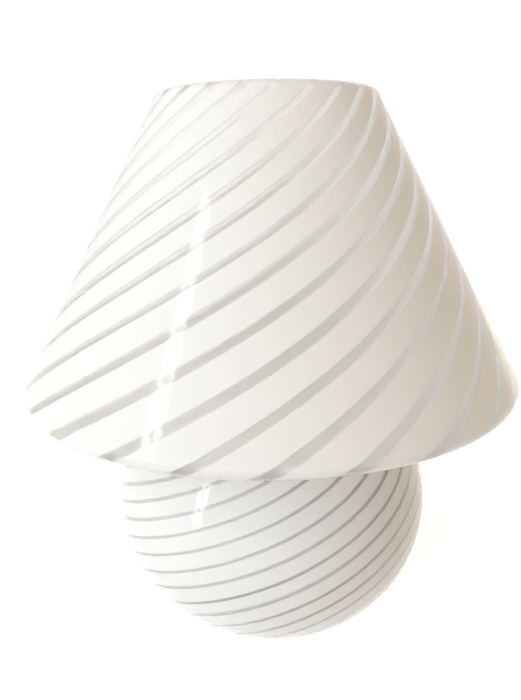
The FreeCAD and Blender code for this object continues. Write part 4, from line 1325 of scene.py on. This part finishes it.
@dataclass(frozen=True)
class Lampholder(SubAssembly):
    """The plastic shells, the porcelain insert and the contacts.

    A slot's sizes are its width, its length and the height of the block that cuts it. A chamfer is its width and
    its height.
    """

    wall: float = 0.0013
    radius: float = 0.014
    edge: float = 0.0004
    collar_radius: float = 0.0076
    collar_height: float = 0.009
    slope_height: float = 0.005
    shelf_radius: float = 0.0096
    shelf_depth: float = 0.004
    thread_radius: float = 0.00505
    screw_radius: float = 0.0015
    screw_start: float = 0.0051
    screw_length: float = 0.004
    screw_edge: float = 0.0002
    screw_slot: Place = (0.0004, 0.004, 0.0012)
    hole_length: float = 0.006
    mouth_radius: float = 0.0103
    mouth_width: float = 0.0014
    mouth_thickness: float = 0.0015
    bevel_height: float = 0.001
    sleeve_lead: float = 0.010
    sleeve_edge: float = 0.00025
    groove_places: Point = (0.004, 0.006)
    groove_depth: float = 0.0004
    groove_steps: Place = (0.0003, 0.0008, 0.0011)
    well_radius: float = 0.0079
    well_depth: float = 0.014
    insert_radius: float = 0.0124
    terminal_place: float = 0.006
    terminal_edge: float = 0.0003
    terminal_screw_radius: float = 0.0013
    terminal_head_radius: float = 0.0021
    terminal_head_height: float = 0.0016
    terminal_chamfer: Point = (0.0004, 0.0005)
    terminal_slot: Place = (0.0005, 0.005, 0.0016)
    tongue_edge: float = 0.00008
    pocket: Place = (0.0058, 0.0064, 0.0075)
    shell_radius: float = 0.00725
    shell_wall: float = 0.00035
    shell_hole: float = 0.0054
    shell_plain: float = 0.0005
    flange_width: float = 0.0019
    live_rivet: float = -0.00395
    live_seat: float = 0.0004
    shell_rivet: float = 0.0063
    rivet_hole: float = 0.00065
    rivet_radius: float = 0.0006
    rivet_head: float = 0.0009
    rivet_flatness: float = 0.55
    rivet_rings: int = 6

    def build(self) -> None:
        """Makes the lampholder's pieces."""
        self.make_cap()
        self.make_sleeve()
        self.make_insert()
        self.make_shell()
        self.make_terminal_screws()
        self.make_rivets()
        self.workshop.softened("terminals", Slot.BRASS, self.terminal_edge)
        self.workshop.softened("contact_tongue", Slot.BRASS, self.tongue_edge)

    def make_cap(self) -> None:
        """Makes the cap with its collar, and the slotted screw in the collar."""
        low, high = heights("holder_cap")
        shoulder = low + self.collar_height
        skirt = shoulder + self.slope_height
        shelf = high - self.shelf_depth
        bore = self.radius - self.wall
        outline = [
            (self.thread_radius, low), (self.collar_radius, low), (self.collar_radius, shoulder),
            (self.radius, skirt), (self.radius, high), (bore, high), (bore, shelf),
            (self.shelf_radius, shelf), (self.shelf_radius, skirt), (self.thread_radius, shoulder),
        ]
        mesh = soften(spin_outline(outline, Steps.LARGE), self.edge, segments=3, angle=20.0)
        middle = Matrix.Translation((self.screw_start, 0.0, low + self.collar_height / 2.0))
        sideways = middle @ Matrix.Rotation(RIGHT, 4, "Y")
        hole = moved(rod(self.screw_radius + CLEARANCE, 0.0, self.hole_length), sideways)
        self.workshop.place(carved(mesh, [hole]), "holder_cap", Slot.HOLDER, sharp=CRISP)

        screw = soften(rod(self.screw_radius, 0.0, self.screw_length, Steps.SCREW), self.screw_edge)
        carved(screw, [block(self.screw_slot, (0.0, 0.0, self.screw_length))])
        self.workshop.place(moved(screw, sideways), "cap_screw", Slot.ZINC, sharp=CRISP)

    def make_sleeve(self) -> None:
        """Makes the outer sleeve with its mouth ring and two shallow grip grooves."""
        low, high = heights("holder_sleeve")
        step = high - self.sleeve_lead
        bevel = step + self.bevel_height
        bore = self.radius - self.wall
        top_bore = self.mouth_radius + self.mouth_width
        mouth = high - self.mouth_thickness
        floor = self.radius - self.groove_depth
        start, stop, end = self.groove_steps
        grooves: list[Point] = []
        for place in (low + offset for offset in self.groove_places):
            grooves += [(self.radius, place), (floor, place + start), (floor, place + stop), (self.radius, place + end)]
        outline = [
            (bore, low), (self.radius, low), *grooves, (self.radius, step), (top_bore + self.wall, bevel),
            (top_bore + self.wall, high), (self.mouth_radius, high), (self.mouth_radius, mouth),
            (top_bore, mouth), (top_bore, bevel), (bore, step),
        ]
        mesh = soften(spin_outline(outline, Steps.LARGE), self.sleeve_edge, segments=3, angle=20.0)
        self.workshop.place(mesh, "holder_sleeve", Slot.HOLDER, sharp=CRISP)

    def make_insert(self) -> None:
        """Makes the porcelain insert with its well, its terminal pockets and its rivet holes."""
        low, high = heights("holder_insert")
        floor = high - self.well_depth
        outline = [
            (0.0, low), (self.insert_radius, low), (self.insert_radius, high),
            (self.well_radius, high), (self.well_radius, floor), (0.0, floor),
        ]
        mesh = soften(spin_outline(outline, Steps.LARGE), self.edge, segments=3)
        length, width, height = self.pocket
        cutters = [
            block((length, width, height + PAST), (place, 0.0, low + height / 2.0 - PAST / 2.0))
            for place in (-self.terminal_place, self.terminal_place)
        ]
        cutters += [
            beside(rod(self.rivet_hole, low + height - PAST, floor + PAST, Steps.FINE), place)
            for place in (self.live_rivet, self.shell_rivet)
        ]
        self.workshop.place(carved(mesh, cutters), "holder_insert", Slot.PORCELAIN, sharp=CRISP)

    def make_shell(self) -> None:
        """Makes the rolled screw shell."""
        low, high = heights("thread_shell")
        inner = self.shell_radius
        outer = inner + self.shell_wall
        under = high - self.shell_wall
        floor = low + self.shell_wall
        rings = LAMP_THREAD.rings(under - floor)
        outline = [
            (self.shell_hole, low), (outer, low), *run((outer, floor), (outer, under), rings),
            (outer + self.flange_width, under), (outer + self.flange_width, high),
            *run((inner, high), (inner, floor), rings), (self.shell_hole, floor),
        ]
        mesh = spin_outline(outline, Steps.THREADED)
        LAMP_THREAD.press(mesh, (floor, under - self.shell_plain), (inner, outer))
        hole = beside(rod(self.rivet_hole, low - PAST, floor + PAST, Steps.FINE), self.shell_rivet)
        self.workshop.place(carved(mesh, [hole]), "thread_shell", Slot.SHELL, sharp=50.0)

    def make_terminal_screws(self) -> None:
        """Makes the two slotted terminal screws, their heads down."""
        low, high = heights("terminal_screws")
        shaft, head = self.terminal_screw_radius, self.terminal_head_radius
        neck = low + self.terminal_head_height
        inset, rise = self.terminal_chamfer
        outline = [
            (0.0, low), (head - inset, low), (head, low + rise), (head, neck), (shaft, neck), (shaft, high),
            (0.0, high),
        ]
        screws = []
        for place in (-self.terminal_place, self.terminal_place):
            screw = carved(spin_outline(outline, Steps.SCREW), [block(self.terminal_slot, (0.0, 0.0, low))])
            screws.append(beside(screw, place))
        self.workshop.place(join(screws), "terminal_screws", Slot.ZINC, sharp=CRISP)

    def make_rivets(self) -> None:
        """Makes the domed rivets of the live contact and of the shell."""
        bottom = heights("contact_rivets")[0]
        floor = heights("thread_shell")[0]
        rivets = []
        for place, seat in ((self.live_rivet, floor + self.live_seat), (self.shell_rivet, floor + self.shell_wall)):
            dome = arc((0.0, seat), self.rivet_head, 0.0, RIGHT, self.rivet_rings)
            dome = [(radius, seat + (height - seat) * self.rivet_flatness) for radius, height in dome]
            shank = [(0.0, bottom), (self.rivet_radius, bottom), (self.rivet_radius, seat)]
            rivets.append(beside(spin_outline(shank + dome, Steps.RIVET), place))
        self.workshop.place(join(rivets), "contact_rivets", Slot.BRASS)


# The bulb


@dataclass(frozen=True)
class GolfBallBulb(SubAssembly):
    """The screw-in bulb: envelope, cap, insulator, tip, stem and filaments."""

    ball_radius: float = 0.0225
    glass: float = 0.0008
    neck_radius: float = 0.009
    hollow_radius: float = 0.012
    neck_straight: float = 0.0046
    ball_rings: int = 40
    hollow_rings: int = 10
    tip_radius: float = 0.0024
    tip_rings: int = 8
    insulator_radius: float = 0.00575
    insulator_edge: float = 0.0002
    cap_radius: float = 0.00695
    cap_wall: float = 0.0003
    cap_bevel: float = 0.0012
    cap_straight: float = 0.014
    cap_flare: float = 0.004
    collar_inner: float = 0.00905
    plug_height: float = 0.0012
    rod_radius: float = 0.0024
    rod_end: float = 0.0012
    rod_chamfer: float = 0.001
    flare_start: float = 0.001
    flare_height: float = 0.006
    flare_power: float = 2.2
    flare_rings: int = 10
    wire_edge: float = 0.00012
    filament_count: int = 4
    filament_radius: float = 0.0009
    filament_circle: float = 0.007
    filament_edge: float = 0.0003

    def build(self) -> None:
        """Makes the bulb's pieces."""
        self.make_envelope()
        self.make_cap()
        self.make_tip()
        self.make_stem()
        self.make_filaments()

    def make_envelope(self) -> None:
        """Makes the clear glass ball and neck."""
        low, high = heights("bulb_envelope")
        ball = (0.0, high - self.ball_radius)
        hollow = (self.neck_radius + self.hollow_radius, low + self.neck_straight)
        meeting = bearing(hollow, ball)
        inside = chain((
            arc(ball, self.ball_radius - self.glass, RIGHT, meeting - math.pi, self.ball_rings),
            arc(hollow, self.hollow_radius + self.glass, meeting, math.pi, self.hollow_rings),
        ))
        outside = chain((
            arc(hollow, self.hollow_radius, math.pi, meeting, self.hollow_rings),
            arc(ball, self.ball_radius, meeting - math.pi, RIGHT, self.ball_rings),
        ))
        rim = [(self.neck_radius - self.glass, low), (self.neck_radius, low)]
        mesh = spin_outline(inside + rim + outside, Steps.LARGE)
        self.workshop.place(mesh, "bulb_envelope", Slot.BULB_GLASS, Body.BULB, sharp=50.0)

    def make_cap(self) -> None:
        """Makes the rolled screw cap."""
        low, high = heights("bulb_cap")
        bevel = low + self.cap_bevel
        straight = bevel + self.cap_straight
        flare = straight + self.cap_flare
        rings = LAMP_THREAD.rings(self.cap_straight)
        outer = self.cap_radius
        inner = outer - self.cap_wall
        collar = self.collar_inner + self.cap_wall
        outline = [
            (self.insulator_radius - self.cap_wall + CLEARANCE, low), (self.insulator_radius, low),
            *run((outer, bevel), (outer, straight), rings),
            (collar, flare), (collar, high), (self.collar_inner, high), (self.collar_inner, flare),
            *run((inner, straight), (inner, bevel), rings),
        ]
        mesh = spin_outline(outline, Steps.THREADED)
        LAMP_THREAD.press(mesh, (bevel, straight), (inner, outer))
        self.workshop.place(mesh, "bulb_cap", Slot.SHELL, Body.BULB, sharp=50.0)

    def make_tip(self) -> None:
        """Makes the black insulator and the soldered tip contact."""
        low, high = heights("cap_insulator")
        cone = high - self.plug_height
        plug = self.insulator_radius - self.cap_wall
        outline = [
            (0.0, low), (self.tip_radius, low), (self.insulator_radius, cone), (plug, cone), (plug, high), (0.0, high),
        ]
        mesh = soften(spin_outline(outline, Steps.MIDDLE), self.insulator_edge, segments=3)
        self.workshop.place(mesh, "cap_insulator", Slot.BLACK_GLASS, Body.TIP, sharp=CRISP)
        low, high = heights("tip_contact")
        angles = [RIGHT * step / self.tip_rings for step in range(self.tip_rings + 1)]
        dome = [(self.tip_radius * math.sin(angle), high - (high - low) * math.cos(angle)) for angle in angles]
        mesh = spin_outline([*dome, (0.0, high)], Steps.SMALL)
        self.workshop.place(mesh, "tip_contact", Slot.BRASS, Body.TIP)

    def make_stem(self) -> None:
        """Makes the flared glass stem."""
        low, high = heights("bulb_stem")
        radius, count = self.rod_radius, self.flare_rings
        skirt = self.neck_radius - self.glass - CLEARANCE
        outline = [(0.0, low), (skirt, low)]
        for step in range(count + 1):
            height = low + self.flare_start + self.flare_height * step / count
            outline.append((radius + (skirt - radius) * (1.0 - step / count) ** self.flare_power, height))
        outline += [(radius, high - self.rod_end), (radius - self.rod_chamfer, high), (0.0, high)]
        self.workshop.place(spin_outline(outline, Steps.MIDDLE), "bulb_stem", Slot.BULB_GLASS, Body.BULB)

    def make_filaments(self) -> None:
        """Makes the wire frame and the coated filament rods round it."""
        self.workshop.softened("filament_frame", Slot.ZINC, self.wire_edge, Body.BULB)
        low, high = heights("filaments")
        rods = []
        for number in range(self.filament_count):
            one = soften(rod(self.filament_radius, low, high, Steps.FINE), self.filament_edge, segments=3)
            place = on_circle((0.0, 0.0), self.filament_circle, CIRCLE / self.filament_count * number)
            rods.append(moved(one, Matrix.Translation((*place, 0.0))))
        self.workshop.place(join(rods), "filaments", Slot.FILAMENT, Body.BULB)


# The cord bush


@dataclass(frozen=True)
class CordBush(SubAssembly):
    """The threaded bush in the back of the globe, its nut and its seals.

    A rounded edge is a list of places by how far they lie in from the radius and under the top.
    """

    place: Matrix
    wall: float = 0.0032
    inner_side_radius: float = 0.0706771
    sleeve_radius: float = 0.005
    sleeve_bore: float = 0.004
    flange_radius: float = 0.008
    flange_thickness: float = 0.002
    flange_edge: tuple[Point, ...] = ((0.0, 0.0007), (0.0003, 0.0002), (0.0009, 0.0))
    throat_radius: float = 0.00365
    throat_length: float = 0.007
    throat_chamfer: Point = (0.0003, 0.0004)
    nose_wall: float = 0.00135
    nose_flare: float = 0.0012
    nose_edge: tuple[Point, ...] = ((0.0, 0.0006), (0.0003, 0.00015), (0.0007, 0.0))
    chamfer: float = 0.0002
    nut_circle: float = 0.008
    nut_height: float = 0.004
    end_length: float = 0.001
    seal: float = 0.0012
    seal_edge: float = 0.00035

    def build(self) -> None:
        """Makes the bush's pieces."""
        sag = self.inner_side_radius - math.sqrt(self.inner_side_radius ** 2 - self.flange_radius ** 2)
        seal_high = -(self.wall + sag + CLEARANCE)
        nut_high = seal_high - self.seal
        nut_low = nut_high - self.nut_height
        self.make_bush(nut_low - self.end_length)

        bore = self.sleeve_radius + CLEARANCE
        nut = moved(hexagon_nut(self.nut_circle, bore, nut_low, nut_high), self.place)
        self.workshop.place(nut, "bush_nut", Slot.BUSH, sharp=25.0)
        seals = []
        for low, high in ((0.0, self.seal), (nut_high, seal_high)):
            ring = [(bore, low), (self.flange_radius, low), (self.flange_radius, high), (bore, high)]
            seals.append(soften(spin_outline(ring, Steps.MIDDLE), self.seal_edge, segments=3))
        self.workshop.place(moved(join(seals), self.place), "bush_seals", Slot.SEAL)

    def make_bush(self, low: float) -> None:
        """Makes the bush itself: a threaded sleeve, a flange with rounded edges and a flared nose.

        Args:
            low: Where its threaded sleeve ends, inside the glass.
        """
        sleeve, flange, throat, seal = self.sleeve_radius, self.flange_radius, self.throat_radius, self.seal
        flange_high = seal + self.flange_thickness
        nose_high = seal + self.throat_length
        nose = throat + self.nose_wall
        foot = nose + self.nose_flare
        inset, drop = self.throat_chamfer
        outline = [
            (self.sleeve_bore, low), *run((sleeve, low), (sleeve, seal), NIPPLE_THREAD.rings(seal - low)),
            (flange - self.chamfer, seal), (flange, seal + self.chamfer),
            *((flange - inwards, flange_high - under) for inwards, under in self.flange_edge),
            (foot + 2.0 * self.chamfer, flange_high), (foot, flange_high + self.chamfer),
            *((nose - inwards, nose_high - under) for inwards, under in self.nose_edge),
            (throat + inset, nose_high), (throat, nose_high - drop), (throat, seal), (self.sleeve_bore, seal),
        ]
        mesh = spin_outline(outline, Steps.THREADED)
        NIPPLE_THREAD.press(mesh, (low, 0.0), (sleeve, sleeve))
        self.workshop.place(moved(mesh, self.place), "cord_bush", Slot.BUSH, sharp=48.0)


# Camera, lights and floor


@dataclass(frozen=True)
class SoftLamp:
    """A flat rectangular lamp that faces the middle of the object. It shows as a reflection where it is mirrored."""

    name: str
    middle: Place
    width: float
    height: float
    power: float
    colour: Colour = WHITE
    mirrored: bool = False
    aim: Place = (0.0, 0.0, 0.14)

    def build(self) -> None:
        """Hangs the lamp."""
        data = bpy.data.lights.new(self.name, "AREA")
        data.shape = "RECTANGLE"
        data.size = self.width
        data.size_y = self.height
        data.energy = self.power
        data.color = self.colour
        lamp = show(self.name, data)
        lamp.location = self.middle
        lamp.rotation_euler = (Vector(self.aim) - Vector(self.middle)).to_track_quat("-Z", "Y").to_euler()
        lamp.visible_glossy = self.mirrored


@dataclass(frozen=True)
class Studio:
    """A plain studio: a pale floor, lamps, and a room that is cool and light on its front left and warm elsewhere."""

    focal_length: float = 32.8
    sensor_width: float = 36.0
    clip_start: float = 0.01
    pitch: float = 0.2796
    roll: float = -0.0183
    yaw: float = -0.0152
    camera_distance: float = 0.3419
    camera_height: float = 0.2514
    room_colour: Colour = (0.24, 0.15, 0.05)
    bright_side: Place = (-0.8, -0.6, 0.0)
    bright_colour: Colour = (0.73, 0.77, 0.80)
    bright_span: Point = (-0.2, 0.75)
    floor_size: float = 3.0
    floor_height: float = -0.0002
    floor_colour: Colour = (0.80, 0.79, 0.77)
    floor_roughness: float = 0.9
    floor_glow: Colour = (0.92, 0.95, 1.0)
    floor_lift: float = 0.75
    lamps: tuple[SoftLamp, ...] = (
        SoftLamp("window_left", (-1.70, -1.21, 1.0), 0.12, 2.2, 5.2, mirrored=True),
        SoftLamp("window_right", (-1.61, -1.34, 1.0), 0.12, 2.2, 5.2, mirrored=True),
        SoftLamp("front_left", (-1.15, -1.45, 1.8), 1.2, 1.0, 3.4, (0.86, 0.94, 1.0)),
        SoftLamp("low_front_left", (-1.1, -1.6, 0.22), 0.9, 0.8, 11.0, (0.86, 0.94, 1.0)),
        SoftLamp("ceiling", (0.3, -0.5, 2.4), 2.0, 2.0, 6.0, (1.0, 0.66, 0.22)),
        SoftLamp("back_right", (1.2, 1.6, 1.2), 1.4, 1.2, 11.0, (1.0, 0.84, 0.62)),
    )

    def build(self) -> None:
        """Sets up the camera, the lights, the world and the floor."""
        bpy.context.scene.view_settings.view_transform = "Standard"
        self.make_camera()
        for lamp in self.lamps:
            lamp.build()
        self.make_world()
        self.make_floor()

    def make_camera(self) -> None:
        """Places the camera at the photograph's angle."""
        level = math.cos(self.pitch)
        forward = Vector((math.sin(self.yaw) * level, math.cos(self.yaw) * level, -math.sin(self.pitch)))
        right = Vector((math.cos(self.yaw), -math.sin(self.yaw), 0.0))
        up = right.cross(forward)
        turned_right = right * math.cos(self.roll) + up * math.sin(self.roll)
        turned_up = up * math.cos(self.roll) - right * math.sin(self.roll)
        matrix = Matrix((turned_right, turned_up, -forward)).transposed().to_4x4()
        matrix.translation = (0.0, -self.camera_distance, self.camera_height)
        data = bpy.data.cameras.new("camera")
        data.sensor_width = self.sensor_width
        data.lens = self.focal_length
        data.clip_start = self.clip_start
        camera = show("camera", data)
        camera.matrix_world = matrix
        bpy.context.scene.camera = camera

    def make_world(self) -> None:
        """Makes the room: white where it is seen, weaker where it lights."""
        world = bpy.data.worlds.new("room")
        bpy.context.scene.world = world
        world.use_nodes = True
        desk = Desk(world.node_tree)
        way = desk.add("ShaderNodeTexCoord").outputs["Generated"]
        side = desk.add("ShaderNodeVectorMath", {0: way, 1: self.bright_side}, operation="DOT_PRODUCT")
        brightness = desk.span(side.outputs["Value"], *self.bright_span)
        light = desk.blend(brightness, self.room_colour, self.bright_colour)
        desk.wire(desk.tree.nodes["Background"], {"Color": desk.blend(desk.seen(), light, WHITE)})

    def make_floor(self) -> None:
        """Lays the pale floor, which shows white but keeps the lamp's shadow."""
        mesh = bmesh.new()
        bmesh.ops.create_grid(mesh, x_segments=4, y_segments=4, size=self.floor_size)
        data = as_data(moved(mesh, Matrix.Translation((0.0, 0.0, self.floor_height))), "floor")
        material = bpy.data.materials.new("pale_floor")
        desk = FinishDesk(material)
        desk.dress({
            "Base Color": (*self.floor_colour, 1.0),
            "Roughness": self.floor_roughness,
            "Specular IOR Level": 0.0,
            "Emission Color": (*self.floor_glow, 1.0),
            "Emission Strength": desk.reckon("MULTIPLY", desk.seen(), self.floor_lift),
        })
        data.materials.append(material)
        show("floor", data)


def main() -> None:
    """Builds the studio and dresses every piece of the lamp."""
    logging.basicConfig(level=logging.INFO, format="%(message)s")
    Studio().build()
    effects = Effects()
    workshop = Workshop(all_finishes(effects))
    glass = StripedGlass(workshop)
    # The clear stripes' material is clear glass, with painted shade greying its stripes in the globe
    glass.build(OpalGlass("opal_glass").build(effects), StripeGlass("clear_glass_with_painted_shade").build(effects))
    WaistFitting(workshop).build()
    Lampholder(workshop).build()
    GolfBallBulb(workshop).build()
    CordBush(workshop, glass.hole_place()).build()


if __name__ == "__main__":
    main()
